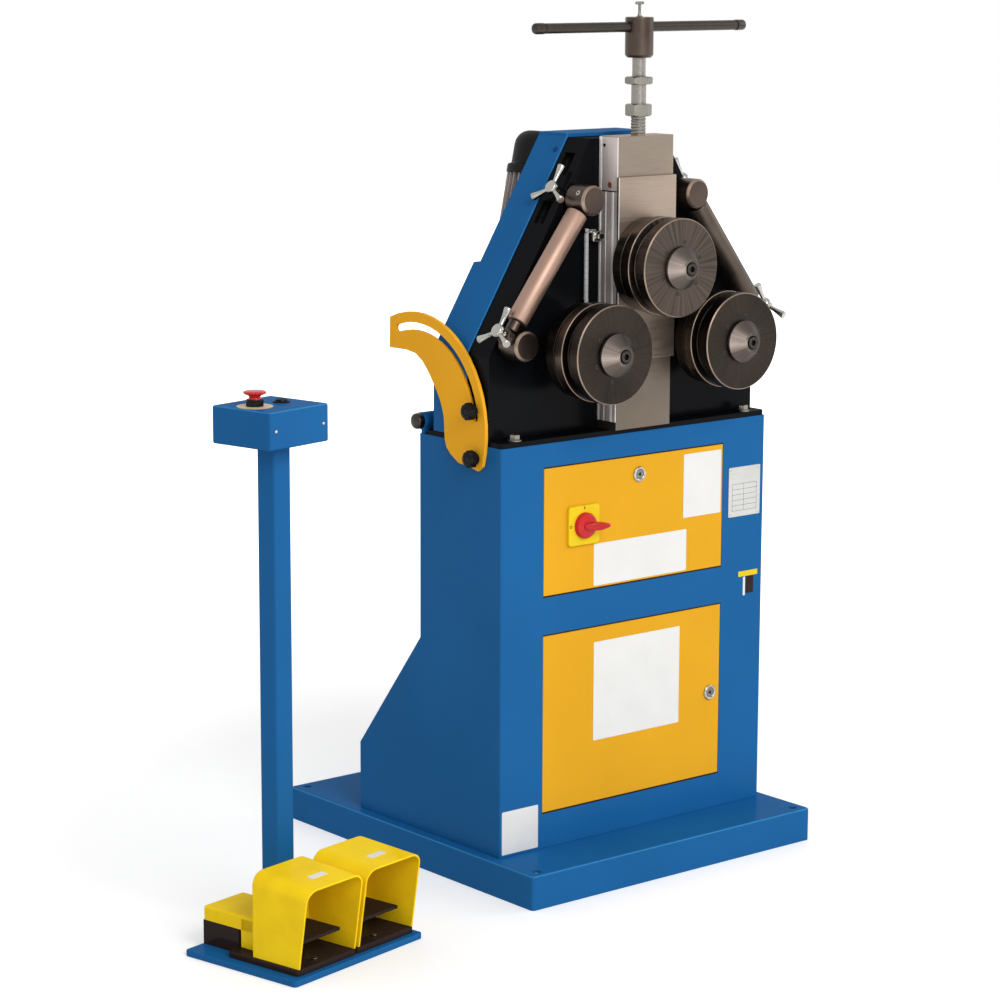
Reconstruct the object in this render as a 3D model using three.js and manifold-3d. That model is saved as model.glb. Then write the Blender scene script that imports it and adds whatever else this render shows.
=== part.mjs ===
// Three-roll ring roller: a cabinet with a tilting roll head, and a foot-pedal pedestal beside it.
// Millimetres, +Z up. The origin is the centre of the underside of the machine's base.
// X runs to the machine's right, the rolls face -Y.

import * as THREE from 'three';
import { mergeVertices } from 'three/addons/utils/BufferGeometryUtils.js';
import Module from 'manifold-3d';

const wasm = await Module();
wasm.setup();

// Clearances
const TOUCH_GAP = 0.3;
const DOOR_GAP = 0.7;
const RUNNING_GAP = 0.3;

// Base tray
const BASE_WIDTH = 610;
const BASE_DEPTH = 654;
const BASE_HEIGHT = 55.5;
const BASE_SHEET = 4;
const BASE_LIP = 42;
const BASE_BEAM = 80;
const BASE_CORNER = 14;
const ANCHOR_HOLE = 7;
const ANCHOR_INSET_X = 23;
const ANCHOR_INSET_Y = 19;

// Cabinet
const CABINET_WIDTH = 570;
const CABINET_FRONT = -220.7;
const CABINET_TOP = 716.4;
const CABINET_BACK = -15.3;
const CABINET_HEEL = 149.8;
const HEEL_TOP = 380.5;
const HEEL_FOOT = 170;
const CABINET_SHEET = 3;
const SHELF_LEVEL = 438;
const CABLE_HOLE_WIDTH = 300;
const CABLE_HOLE_DEPTH = 110;

// Front panels
const PANEL_LEFT_MARGIN = 87.8;
const PANEL_RIGHT_MARGIN = 94.5;
const PANEL_BOTTOM = 470.3;
const PANEL_TOP_MARGIN = 39.4;
const DOOR_BOTTOM = 114.7;
const DOOR_TOP = 406.4;
const PANEL_SHEET = 2.5;
const PANEL_LOCK_X = 3.4;
const PANEL_LOCK_DROP = 30.6;
const DOOR_LOCK_INSET = 23.3;
const DOOR_LOCK_Z = 257.5;
const LOCK_RADIUS = 10;
const LOCK_RIM = 12.5;
const LOCK_DEPTH = 24;
const CAM_WIDTH = 14;
const CAM_SHEET = 3;
const CAM_OVERLAP = 8;

// Main switch
const SWITCH_X = -117.4;
const SWITCH_Z = 577.8;
const SWITCH_PLATE = 64;
const SWITCH_PLATE_DEPTH = 6;
const SWITCH_PLATE_CORNER = 5;
const SWITCH_NECK = 15;
const SWITCH_BODY = 48;
const SWITCH_BODY_DEPTH = 52;
const SWITCH_KNOB = 21;
const SWITCH_KNOB_DEPTH = 9;
const SWITCH_GRIP_LENGTH = 50;
const SWITCH_GRIP_WIDTH = 15;
const SWITCH_NIB = 12;
const SWITCH_NIB_WIDTH = 7;
const SWITCH_GRIP_DEPTH = 18;
const SWITCH_SPINDLE = 4;

// Electrical tray
const TRAY_SIDE_MARGIN = 110;
const TRAY_FOOT_MARGIN = 43;
const TRAY_TOP_MARGIN = 48.4;
const TRAY_SHEET = 3;
const TRAY_INSET = 14;
const CONTACTOR_COUNT = 4;
const CONTACTOR_WIDTH = 44;
const CONTACTOR_HEIGHT = 74;
const CONTACTOR_DEPTH = 78;
const CONTACTOR_PITCH = 52;
const TRANSFORMER_WIDTH = 84;
const TRANSFORMER_HEIGHT = 70;
const TRANSFORMER_DEPTH = 66;
const TERMINAL_LENGTH = 180;
const TERMINAL_HEIGHT = 34;
const TERMINAL_DEPTH = 34;

// Hinge of the head
const HINGE_Y = -14;
const HINGE_RISE = 19.6;
const HINGE_PIN = 10;
const HINGE_CAP = 12.8;
const HINGE_TUBE = 14;
const HINGE_PIN_OVERHANG = 13;
const KNUCKLE_INSET = 2;
const KNUCKLE_LENGTH = 33;
const LUG_LENGTH = 44;
const HINGE_WEB = 9;

// Quadrant
const QUADRANT_SHEET = 6;
const QUADRANT_RADIUS = 176;
const QUADRANT_TIP_ANGLE = 67;
const QUADRANT_FOOT_ANGLE = 197;
const SLOT_RADIUS = 153;
const SLOT_HALF_WIDTH = 6;
const SLOT_START_ANGLE = 72;
const SLOT_END_ANGLE = 171;
const HEAD_KNOB_ANGLE = 166.8;
const FOOT_KNOB_ANGLE = 194.6;
const FOOT_KNOB_RADIUS = 158;
const QUADRANT_HEEL_ANGLE = 201;
const QUADRANT_HEEL_RADIUS = 168;
const QUADRANT_TOE_ANGLE = 202;
const QUADRANT_TOE_RADIUS = 149;
// Inner edge of the quadrant: angle and radius about the hinge
const QUADRANT_INNER = [[206, 121], [201, 82], [163, 73], [129, 78], [91, 108], [58, 132]];
const KNOB_RADIUS = 14;
const KNOB_DEPTH = 20;
const KNOB_STUD = 5;

// Head: heights are from the top of its base plate
const HEAD_PLATE = 8;
const HEAD_PLATE_BACK = -30;
const HEAD_PLATE_CORNER = 10;
const HEAD_FRONT = -187;
const HEAD_FRONT_PLATE = 12;
const HEAD_BACK = -136;
const HEAD_SETBACK = 2;
const HEAD_TOP_HALF = 80;
const EAVES = 131.3;
const HEAD_TOP = 462.3;
const HEAD_WALL = 8;
const WINDOW_LENGTH = 40;
const WINDOW_DEPTH = 24;
const WINDOW_Y = -158.5;
const WINDOW_STATIONS = [254.5, 341.6];
const BEARING_PLATE = 10;
const COVER_PROUD = 2.5;
const COVER_WALL = 3;
const COVER_BACK_LOW = -51;
const COVER_BACK_HIGH = -66;
const COVER_STEP = 265;
const COVER_RISE = 6;

// Column and ram
const COLUMN_HALF = 58;
const COLUMN_FRONT = -232;
const COLUMN_TOP = 466.3;
const SLOT_BACK_WALL = 6;
const RAM_HALF = 44;
const RAM_BOTTOM = 164.3;
const RAM_TOP = 367.3;
const RAM_TRAVEL = 30;
const RAM_PLATE_HALF = 61;
const RAM_PLATE = 5.4;
const RAM_PLATE_BOTTOM = 111.8;
const RAM_PLATE_TOP = 403.3;

// Rolls
const ROLL_SPACING = 136;
const LOWER_ROLL = 137.3;
const UPPER_ROLL = 264;
const ROLL_RADIUS = 78;
const ROLL_GROOVE = 66;
const ROLL_STEP = 75;
const ROLL_BACK = -238.5;
const ROLL_WIDTH = 79.5;
const ROLL_FRONT_DISC = 20;
const ROLL_MIDDLE_START = 38;
const ROLL_MIDDLE_END = 55;
const ROLL_SIDES = 28;
const SHAFT_RADIUS = 20;
const JOURNAL_RADIUS = 25;
const SHAFT_COLLAR = 36;
const SHAFT_COLLAR_WIDTH = 2.4;
const SHAFT_OVERHANG = 20;
const NUT_FOOT = 34;
const NUT_TIP = 17;
const NUT_LENGTH = 23;
const BOLT_RADIUS = 9;
const BOLT_LENGTH = 3.5;
const BOSS_RADIUS = 50;
const BOSS_CLEARANCE = 4;

// Spindle
const SPINDLE_RADIUS = 12;
const SPINDLE_NUT_RADIUS = 17;
const SPINDLE_NUT_LENGTH = 40;
const SPINDLE_SEAT = 28;
const STOP_NUT_RADIUS = 21.5;
const STOP_NUT_LENGTH = 19;
const LOCK_NUT_RADIUS = 22.5;
const LOCK_NUT_LENGTH = 12;
const LOCK_NUT_LEVEL = 546.3;
const HUB_RADIUS = 22.5;
const HUB_BOTTOM = 588;
const HUB_LENGTH = 63.2;
const BAR_RADIUS = 8;
const BAR_LENGTH = 444;
const BAR_SHIFT = 5;
const BAR_LEVEL = 635.8;
const BAR_BALL = 8.6;
const CAP_SCREW_FOOT = 5;
const CAP_SCREW_RADIUS = 2.4;
const CAP_SCREW_WING = 8.5;
const CAP_SCREW_LENGTH = 24;

// Depth gauge beside the column
const GAUGE_X = -92;
const GAUGE_Y = -196;
const GAUGE_BOTTOM = 204;
const GAUGE_TOP = 322;
const GAUGE_ROD = 4;
const GAUGE_BLOCK = 14;
const GAUGE_FOOT_HEIGHT = 8;
const GAUGE_TIP = 4;
const GAUGE_KNOB = 6;
const GAUGE_KNOB_LENGTH = 14;

// Gear drive
const GEAR_MODULE = 4;
const PINION_TEETH = 17;
const GEAR_TEETH = 51;
const GEAR_FRONT = -130;
const GEAR_WIDTH = 20;
const SHAFT_END = -100;
const PINION_SHAFT = 17;
const REDUCER_FRONT = -15;
const REDUCER_BACK = 109;
const SPIGOT_RADIUS = 38;
const SPIGOT_FLANGE = 58;
const SPIGOT_FLANGE_DEPTH = 14;
const REDUCER_CAP = 46;
const REDUCER_CAP_DEPTH = 8;
const REDUCER_CORNER = 26;

// Reducer and motor lean about the output shaft, and their heights are measured from it
const DRIVE_LEAN = 12;
const REDUCER_HALF_WIDTH = 82;
const REDUCER_HALF_HEIGHT = 75;
const MOTOR_FLANGE = 80;
const MOTOR_FLANGE_DEPTH = 12;
const MOTOR_RADIUS = 70;
const MOTOR_FIN = 12;
const MOTOR_FIN_WIDTH = 3.2;
const MOTOR_FINS = 16;
const MOTOR_TOP = 245;
const COWL_RIM = 84;
const COWL_RIM_HEIGHT = 13;
const COWL_RADIUS = 78;
const COWL_TOP = 318;
const COWL_DOME = 24;
const COWL_EYE = 18;
const COWL_WALL = 3;

// Lateral guides: stations are measured up the slope of the head from its eaves
const GUIDE_INSET = 22;
const GUIDE_LOW_STATION = 36.6;
const GUIDE_HIGH_STATION = 292.8;
const GUIDE_Y = -215;
const GUIDE_HEAD = 24;
const GUIDE_HEAD_DEPTH = 44;
const GUIDE_SHANK = 13;
const GUIDE_SHANK_END = -152;
const GUIDE_AXLE = 7;
const GUIDE_ROLLER = 17;
const GUIDE_ROLLER_TOP_GAP = 25.5;
const GUIDE_ROLLER_LENGTH = 203;
const GUIDE_COLLAR = 11;
const GUIDE_COLLAR_GAP = 0.6;
const AXLE_LOW_REACH = 4.6;
const AXLE_HIGH_INSET = 20.7;
const CROSS_BLOCK = 13;
const CROSS_BLOCK_REACH = 15;
const CROSS_BLOCK_BORE = 4;
const CLAMP_Y = -168;
const CLAMP_STUD = 5;
const CLAMP_HUB = 11;
const CLAMP_HUB_LENGTH = 18;
const CLAMP_NECK = 7.7;
const CLAMP_BELL = 11;
const CLAMP_ARM_DROP = 6;
const CLAMP_ARMS = 3;
const CLAMP_ARM = 4;
const CLAMP_REACH = 30;
const CLAMP_BALL = 6.5;

// Pedestal: its own frame has X along the front edge of the foot plate
const PEDESTAL_X = -796.5;
const PEDESTAL_Y = -379;
const PEDESTAL_TURN = 12;
const FOOT_PLATE_WIDTH = 286;
const FOOT_PLATE_DEPTH = 224;
const FOOT_PLATE = 10;
const FOOT_PLATE_CORNER = 6;
const POST_X = 150;
const POST_Y = 172;
const POST_SIDE = 36;
const POST_WALL = 3;
const BOX_WIDTH = 126;
const BOX_DEPTH = 117;
const BOX_HEIGHT = 57;
const BOX_TOP = 822;
const BOX_WALL = 2.5;
const BUTTON_Y = 172;
const STOP_X = 111;
const STOP_COLLAR = 12.8;
const STOP_COLLAR_HEIGHT = 11;
const STOP_HEAD = 17.2;
const STOP_HEAD_HEIGHT = 8;
const STOP_STEM = 9;
const STOP_TRAVEL = 5;
const START_X = 168;
const START_RING = 13;
const START_RING_HEIGHT = 3;
const START_CAP = 9;
const START_PROUD = 4.5;
const BUTTON_STEM = 5;
const BUTTON_DEPTH = 22;

// Foot pedals
const PEDAL_CENTRES = [80.5, 211.5];
const PEDAL_BASE_WIDTH = 129;
const PEDAL_BASE_FRONT = 10;
const PEDAL_SLAB = 10;
const PEDAL_SLAB_BACK = 150;
const PEDAL_BODY_WIDTH = 86;
const PEDAL_BODY_BACK = 221;
const PEDAL_BODY_TOP = 48;
const PEDAL_BODY_WALL = 3;
const PEDAL_EAR_INSET = 8;
const PEDAL_EAR = 6;
const PEDAL_EAR_RADIUS = 7;
const HOOD_WIDTH = 124;
const HOOD_FRONT = 10;
const HOOD_LEAN = 18;
const HOOD_BACK = 104;
const HOOD_HEIGHT = 122;
const HOOD_RISE = 8;
const HOOD_WALL = 3;
const HOOD_CORNER = 22;
const HOOD_CAP_TOP = 70;
const PEDAL_WIDTH = 88;
const PEDAL_TREAD = 45;
const PEDAL_SHEET = 5;
const PEDAL_FRONT = 25;
const PEDAL_PIVOT_Y = 100;
const PEDAL_PIVOT_Z = 46;
const PEDAL_PIN = 5;
const PEDAL_ARM = 12;

// Derived places
const CABINET_HALF = CABINET_WIDTH / 2;
const HEAD_HALF_WIDTH = CABINET_HALF - HEAD_SETBACK;
const PANEL_LEFT = PANEL_LEFT_MARGIN - CABINET_HALF;
const PANEL_RIGHT = CABINET_HALF - PANEL_RIGHT_MARGIN;
const PANEL_TOP = CABINET_TOP - PANEL_TOP_MARGIN;
const TRAY_HALF = CABINET_HALF - TRAY_SIDE_MARGIN;
const TRAY_BOTTOM = SHELF_LEVEL + CABINET_SHEET + TRAY_FOOT_MARGIN;
const TRAY_TOP = CABINET_TOP - TRAY_TOP_MARGIN;
const HINGE_Z = CABINET_TOP + HINGE_RISE;
const AXLE_RUN = GUIDE_HIGH_STATION - GUIDE_LOW_STATION;
const AXLE_LENGTH = Math.hypot(AXLE_RUN, AXLE_LOW_REACH + AXLE_HIGH_INSET);
const AXLE_LEAN = Math.atan2(AXLE_LOW_REACH + AXLE_HIGH_INSET, AXLE_RUN);
const ROLLER_TOP = AXLE_LENGTH - GUIDE_ROLLER_TOP_GAP;
const ROLLER_FOOT = ROLLER_TOP - GUIDE_ROLLER_LENGTH;
const SIDE_FACE = Math.max(CABINET_HALF, HEAD_HALF_WIDTH + COVER_PROUD);
const HEAD_FOOT = CABINET_TOP + TOUCH_GAP + HEAD_PLATE;
const SLOPE_RUN = HEAD_HALF_WIDTH - HEAD_TOP_HALF;
const SLOPE_ANGLE = Math.atan2(SLOPE_RUN, HEAD_TOP - EAVES);
const RAM_BACK = HEAD_FRONT - TOUCH_GAP - SLOT_BACK_WALL - TOUCH_GAP;
const ROLL_FRONT = ROLL_BACK - ROLL_WIDTH;
const PANEL_FACE = CABINET_FRONT + TOUCH_GAP;
const PANEL_REAR = PANEL_FACE + PANEL_SHEET;
const CAM_FRONT = CABINET_FRONT + CABINET_SHEET + TOUCH_GAP;

// Materials
function finish(color, roughness, metalness) {
  return new THREE.MeshStandardMaterial({ color, roughness, metalness });
}

const bluePaint = finish(0x1c5fa8, 0.45, 0.1);
const yellowPaint = finish(0xf2a81d, 0.45, 0.1);
const blackPaint = finish(0x17181c, 0.5, 0.1);
const machinedSteel = finish(0xa9a8a2, 0.35, 0.9);
const darkSteel = finish(0x4a4540, 0.4, 0.85);
const chrome = finish(0xc9cacb, 0.15, 1);
const bronze = finish(0xa8783c, 0.4, 0.8);
const greyCast = finish(0x6b6a66, 0.6, 0.4);
const blackPlastic = finish(0x1b1b1d, 0.55, 0);
const redPlastic = finish(0xd3202b, 0.35, 0);
const yellowPlastic = finish(0xf5cd1e, 0.4, 0);
const whiteRod = finish(0xe4e2da, 0.5, 0.1);
const greyPlastic = finish(0x8d9194, 0.6, 0);

// Solids from geometries, and joins and cuts of solids
function solidOf(geometry) {
  const plain = geometry.clone();
  plain.deleteAttribute('normal');
  plain.deleteAttribute('uv');
  const merged = mergeVertices(plain, 1e-3);
  const points = Float32Array.from(merged.attributes.position.array);
  const corners = [];
  const index = merged.index.array;
  let volume = 0;
  const a = new THREE.Vector3();
  const b = new THREE.Vector3();
  const c = new THREE.Vector3();
  for (let i = 0; i < index.length; i += 3) {
    const [p, q, r] = [index[i], index[i + 1], index[i + 2]];
    if (p === q || q === r || r === p) continue;
    corners.push(p, q, r);
    a.fromArray(points, 3 * p);
    b.fromArray(points, 3 * q);
    c.fromArray(points, 3 * r);
    volume += a.dot(b.cross(c));
  }
  if (volume < 0) corners.reverse();
  const mesh = new wasm.Mesh({
    numProp: 3,
    vertProperties: points,
    triVerts: Uint32Array.from(corners),
  });
  return new wasm.Manifold(mesh);
}

function asSolid(shape) {
  return shape instanceof wasm.Manifold ? shape : solidOf(shape);
}

function join(first, ...others) {
  return others.reduce((whole, shape) => whole.add(asSolid(shape)), asSolid(first));
}

function cut(first, ...tools) {
  return tools.reduce((whole, shape) => whole.subtract(asSolid(shape)), asSolid(first));
}

function geometryOf(solid) {
  const mesh = solid.getMesh();
  const geometry = new THREE.BufferGeometry();
  geometry.setAttribute('position', new THREE.BufferAttribute(mesh.vertProperties, 3));
  geometry.setIndex(new THREE.BufferAttribute(mesh.triVerts, 1));
  const flat = geometry.toNonIndexed();
  flat.computeVertexNormals();
  return flat;
}

function piece(parent, name, shape, material) {
  const mesh = new THREE.Mesh(geometryOf(asSolid(shape)), material);
  mesh.name = name;
  parent.add(mesh);
  return mesh;
}

function groupAt(parent, x, y, z) {
  const group = new THREE.Group();
  group.position.set(x, y, z);
  parent.add(group);
  return group;
}

// Basic shapes, each placed where it is used
function block(x0, x1, y0, y1, z0, z1) {
  const geometry = new THREE.BoxGeometry(x1 - x0, y1 - y0, z1 - z0);
  return geometry.translate((x0 + x1) / 2, (y0 + y1) / 2, (z0 + z1) / 2);
}

function turned(axis, profile, segments = 16) {
  const points = profile.map(([radius, height]) => new THREE.Vector2(radius, height));
  const geometry = new THREE.LatheGeometry(points, segments);
  if (axis === 'x') geometry.rotateZ(-Math.PI / 2);
  if (axis === 'z') geometry.rotateX(Math.PI / 2);
  return geometry;
}

function rod(axis, radius, from, to, segments = 14) {
  return turned(axis, [[0, from], [radius, from], [radius, to], [0, to]], segments);
}

// A round hole is cut with flats that touch its true radius, so that a round pin clears it
function flatsRadius(radius, segments) {
  return radius / Math.cos(Math.PI / segments);
}

function hole(axis, radius, from, to, segments = 14) {
  return rod(axis, flatsRadius(radius, segments), from, to, segments);
}

function ring(axis, bore, outer, from, to, segments = 16) {
  const inner = flatsRadius(bore, segments);
  const profile = [[inner, from], [outer, from], [outer, to], [inner, to], [inner, from]];
  return turned(axis, profile, segments);
}

// The range from near to far on the left (-1) or right (1) side, lowest value first
function sideSpan(side, near, far) {
  return [Math.min(side * near, side * far), Math.max(side * near, side * far)];
}

function shapeOf(points) {
  return new THREE.Shape(points.map(([u, v]) => new THREE.Vector2(u, v)));
}

function prism(plane, shape, from, to, curveSegments = 8) {
  const settings = { depth: to - from, bevelEnabled: false, curveSegments };
  const geometry = new THREE.ExtrudeGeometry(shape, settings);
  if (plane === 'xz') {
    geometry.rotateX(Math.PI / 2);
    return geometry.translate(0, to, 0);
  }
  if (plane === 'yz') {
    geometry.rotateX(Math.PI / 2);
    geometry.rotateZ(Math.PI / 2);
    return geometry.translate(from, 0, 0);
  }
  return geometry.translate(0, 0, from);
}

function roundedRectangle(x0, x1, y0, y1, radius) {
  const shape = new THREE.Shape();
  shape.moveTo(x0 + radius, y0);
  shape.lineTo(x1 - radius, y0);
  shape.absarc(x1 - radius, y0 + radius, radius, -Math.PI / 2, 0);
  shape.lineTo(x1, y1 - radius);
  shape.absarc(x1 - radius, y1 - radius, radius, 0, Math.PI / 2);
  shape.lineTo(x0 + radius, y1);
  shape.absarc(x0 + radius, y1 - radius, radius, Math.PI / 2, Math.PI);
  shape.lineTo(x0, y0 + radius);
  shape.absarc(x0 + radius, y0 + radius, radius, Math.PI, 1.5 * Math.PI);
  return shape;
}

const machine = new THREE.Group();

// Base: a folded sheet tray, open underneath, with lips, a centre beam and anchor holes
function baseTray() {
  const halfX = BASE_WIDTH / 2;
  const halfY = BASE_DEPTH / 2;
  const outline = roundedRectangle(-halfX, halfX, -halfY, halfY, BASE_CORNER);
  let tray = asSolid(prism('xy', outline, 0, BASE_HEIGHT, 3));
  const inner = [halfX - BASE_SHEET, halfY - BASE_SHEET];
  const under = BASE_HEIGHT - BASE_SHEET;
  for (const side of [-1, 1]) {
    const near = BASE_BEAM / 2;
    const hollow = block(...sideSpan(side, near, inner[0]), -inner[1], inner[1], BASE_SHEET, under);
    const mouth = block(
      ...sideSpan(side, near, halfX - BASE_LIP), BASE_LIP - halfY, halfY - BASE_LIP, -1, BASE_SHEET + 1,
    );
    tray = cut(tray, hollow, mouth);
    for (const end of [-1, 1]) {
      const anchor = hole('z', ANCHOR_HOLE, -1, BASE_HEIGHT + 1, 8);
      anchor.translate(side * (halfX - ANCHOR_INSET_X), end * (halfY - ANCHOR_INSET_Y), 0);
      tray = cut(tray, anchor);
    }
  }
  return tray;
}

piece(machine, 'base_plate', baseTray(), bluePaint);

// Cabinet: a bent sheet shell with a sloping heel, a shelf, two front openings and hinge knuckles
function cabinetOutline(inset) {
  const foot = BASE_HEIGHT + TOUCH_GAP - (inset > 0 ? 1 : 0);
  const slope = Math.atan2(CABINET_HEEL - CABINET_BACK, HEEL_TOP - HEEL_FOOT);
  const shift = inset * Math.tan(slope / 2);
  return shapeOf([
    [CABINET_FRONT + inset, foot],
    [CABINET_HEEL - inset, foot],
    [CABINET_HEEL - inset, HEEL_FOOT - shift],
    [CABINET_BACK - inset, HEEL_TOP - shift],
    [CABINET_BACK - inset, CABINET_TOP - inset],
    [CABINET_FRONT + inset, CABINET_TOP - inset],
  ]);
}

function cabinetShell() {
  const outside = prism('yz', cabinetOutline(0), -CABINET_HALF, CABINET_HALF);
  const insideHalf = CABINET_HALF - CABINET_SHEET;
  const inside = prism('yz', cabinetOutline(CABINET_SHEET), -insideHalf, insideHalf);
  const wallBack = CABINET_FRONT + CABINET_SHEET + 1;
  const panelHole = block(
    PANEL_LEFT, PANEL_RIGHT, CABINET_FRONT - 1, wallBack, PANEL_BOTTOM, PANEL_TOP,
  );
  const doorHole = block(PANEL_LEFT, PANEL_RIGHT, CABINET_FRONT - 1, wallBack, DOOR_BOTTOM, DOOR_TOP);
  const middle = (CABINET_FRONT + CABINET_BACK) / 2;
  const cableHole = block(
    -CABLE_HOLE_WIDTH / 2, CABLE_HOLE_WIDTH / 2,
    middle - CABLE_HOLE_DEPTH / 2, middle + CABLE_HOLE_DEPTH / 2,
    CABINET_TOP - CABINET_SHEET - 1, CABINET_TOP + 1,
  );
  const shelf = block(
    -insideHalf - 1, insideHalf + 1, CABINET_FRONT + 1, CABINET_BACK - 1,
    SHELF_LEVEL, SHELF_LEVEL + CABINET_SHEET,
  );
  let shell = join(cut(outside, inside, panelHole, doorHole, cableHole), shelf);
  for (const side of [-1, 1]) {
    const outer = CABINET_HALF - KNUCKLE_INSET;
    const [from, to] = sideSpan(side, outer, outer - KNUCKLE_LENGTH);
    const tube = rod('x', HINGE_TUBE, from, to).translate(0, HINGE_Y, HINGE_Z);
    const web = block(from, to, HINGE_Y - HINGE_WEB, CABINET_BACK - 1, CABINET_TOP - 1, HINGE_Z);
    const bore = hole('x', HINGE_PIN + RUNNING_GAP, from - 1, to + 1).translate(0, HINGE_Y, HINGE_Z);
    shell = cut(join(shell, tube, web), bore);
  }
  const knob = footKnobPlace();
  const knobHole = hole('x', KNOB_STUD + RUNNING_GAP, -CABINET_HALF - 1, 2 - insideHalf, 16);
  return cut(shell, knobHole.translate(0, knob.y, knob.z));
}

function onQuadrant(angle, radius) {
  const turn = THREE.MathUtils.degToRad(angle);
  return { y: HINGE_Y + radius * Math.cos(turn), z: HINGE_Z + radius * Math.sin(turn) };
}

function footKnobPlace() {
  return onQuadrant(FOOT_KNOB_ANGLE, FOOT_KNOB_RADIUS);
}

function headKnobPlace() {
  return onQuadrant(HEAD_KNOB_ANGLE, SLOT_RADIUS);
}

piece(machine, 'cabinet_shell', cabinetShell(), bluePaint);

// Upper panel with its lock, the main switch and the electrical tray behind it
function panelSheet(bottom, top) {
  return block(
    PANEL_LEFT + DOOR_GAP, PANEL_RIGHT - DOOR_GAP, PANEL_FACE, PANEL_REAR,
    bottom + DOOR_GAP, top - DOOR_GAP,
  );
}

function lockHole() {
  return hole('y', LOCK_RADIUS + RUNNING_GAP, PANEL_FACE - 1, PANEL_REAR + 1);
}

function camLock(reach, direction) {
  const rim = rod('y', LOCK_RIM, PANEL_FACE - TOUCH_GAP - 3, PANEL_FACE - TOUCH_GAP);
  const barrel = rod('y', LOCK_RADIUS, PANEL_FACE - 2, PANEL_FACE + LOCK_DEPTH - 3);
  const half = CAM_WIDTH / 2;
  const cam = direction === 'right'
    ? block(-half, reach, CAM_FRONT, CAM_FRONT + CAM_SHEET, -half, half)
    : block(-half, half, CAM_FRONT, CAM_FRONT + CAM_SHEET, -reach, half);
  const keyway = block(-1.5, 1.5, PANEL_FACE - 6, PANEL_FACE - 1.5, -6, 6);
  return cut(join(rim, barrel, cam), keyway);
}

const panelLockZ = PANEL_TOP - PANEL_LOCK_DROP;
const doorLockX = PANEL_RIGHT - DOOR_LOCK_INSET;

const electricalPanel = cut(
  panelSheet(PANEL_BOTTOM, PANEL_TOP),
  lockHole().translate(PANEL_LOCK_X, 0, panelLockZ),
  hole('y', SWITCH_NECK + TOUCH_GAP, PANEL_FACE - 1, PANEL_REAR + 1).translate(SWITCH_X, 0, SWITCH_Z),
);
piece(machine, 'electrical_panel', electricalPanel, yellowPaint);

const panelLock = piece(
  machine, 'panel_lock', camLock(PANEL_LOCK_DROP + CAM_OVERLAP, 'right'), chrome,
);
panelLock.position.set(PANEL_LOCK_X, 0, panelLockZ);

function switchPlate() {
  const half = SWITCH_PLATE / 2;
  const front = PANEL_FACE - TOUCH_GAP - SWITCH_PLATE_DEPTH;
  const outline = roundedRectangle(-half, half, -half, half, SWITCH_PLATE_CORNER);
  const plate = prism('xz', outline, front, PANEL_FACE - TOUCH_GAP, 3);
  const rear = PANEL_REAR + TOUCH_GAP;
  const neck = rod('y', SWITCH_NECK, front + 1, rear + 1);
  const bodyHalf = SWITCH_BODY / 2;
  const body = block(-bodyHalf, bodyHalf, rear, rear + SWITCH_BODY_DEPTH, -bodyHalf, bodyHalf);
  const socket = hole('y', SWITCH_SPINDLE + RUNNING_GAP, front - 1, front + 12, 16);
  return cut(join(plate, neck, body), socket);
}

function switchKnob() {
  const back = PANEL_FACE - 2 * TOUCH_GAP - SWITCH_PLATE_DEPTH;
  const disc = rod('y', SWITCH_KNOB, back - SWITCH_KNOB_DEPTH, back, 20);
  const halfGrip = SWITCH_GRIP_WIDTH / 2;
  const front = back - SWITCH_KNOB_DEPTH - SWITCH_GRIP_DEPTH;
  const [tip, shoulder] = [SWITCH_KNOB + SWITCH_NIB, SWITCH_KNOB - SWITCH_NIB / 2];
  const outline = shapeOf([
    [tip - SWITCH_GRIP_LENGTH, -halfGrip], [shoulder, -halfGrip], [tip, -SWITCH_NIB_WIDTH / 2],
    [tip, SWITCH_NIB_WIDTH / 2], [shoulder, halfGrip], [tip - SWITCH_GRIP_LENGTH, halfGrip],
  ]);
  const grip = prism('xz', outline, front, back - SWITCH_KNOB_DEPTH + 1);
  const spindle = rod('y', SWITCH_SPINDLE, back - 1, back + 10, 16);
  return join(disc, grip, spindle);
}

const plateMesh = piece(machine, 'main_switch_plate', switchPlate(), yellowPlastic);
plateMesh.position.set(SWITCH_X, 0, SWITCH_Z);
const knobMesh = piece(machine, 'main_switch_knob', switchKnob(), redPlastic);
knobMesh.position.set(SWITCH_X, 0, SWITCH_Z);

function electricalTray() {
  const back = CABINET_BACK - CABINET_SHEET - TOUCH_GAP;
  const front = back - TRAY_SHEET;
  let tray = asSolid(block(-TRAY_HALF, TRAY_HALF, front, back, TRAY_BOTTOM, TRAY_TOP));
  const left = TRAY_INSET - TRAY_HALF;
  for (let i = 0; i < CONTACTOR_COUNT; i += 1) {
    const x = left + i * CONTACTOR_PITCH;
    const base = TRAY_TOP - TRAY_INSET - CONTACTOR_HEIGHT;
    tray = join(tray, block(
      x, x + CONTACTOR_WIDTH, front - CONTACTOR_DEPTH, front + 1, base, base + CONTACTOR_HEIGHT,
    ));
  }
  const right = TRAY_HALF - TRAY_INSET;
  const foot = TRAY_BOTTOM + TRAY_INSET;
  const coil = block(
    right - TRANSFORMER_WIDTH, right, front - TRANSFORMER_DEPTH, front + 1, foot, foot + TRANSFORMER_HEIGHT,
  );
  const terminals = block(
    left, left + TERMINAL_LENGTH, front - TERMINAL_DEPTH, front + 1, foot, foot + TERMINAL_HEIGHT,
  );
  return join(tray, coil, terminals);
}

piece(machine, 'electrical_tray', electricalTray(), greyPlastic);

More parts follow.
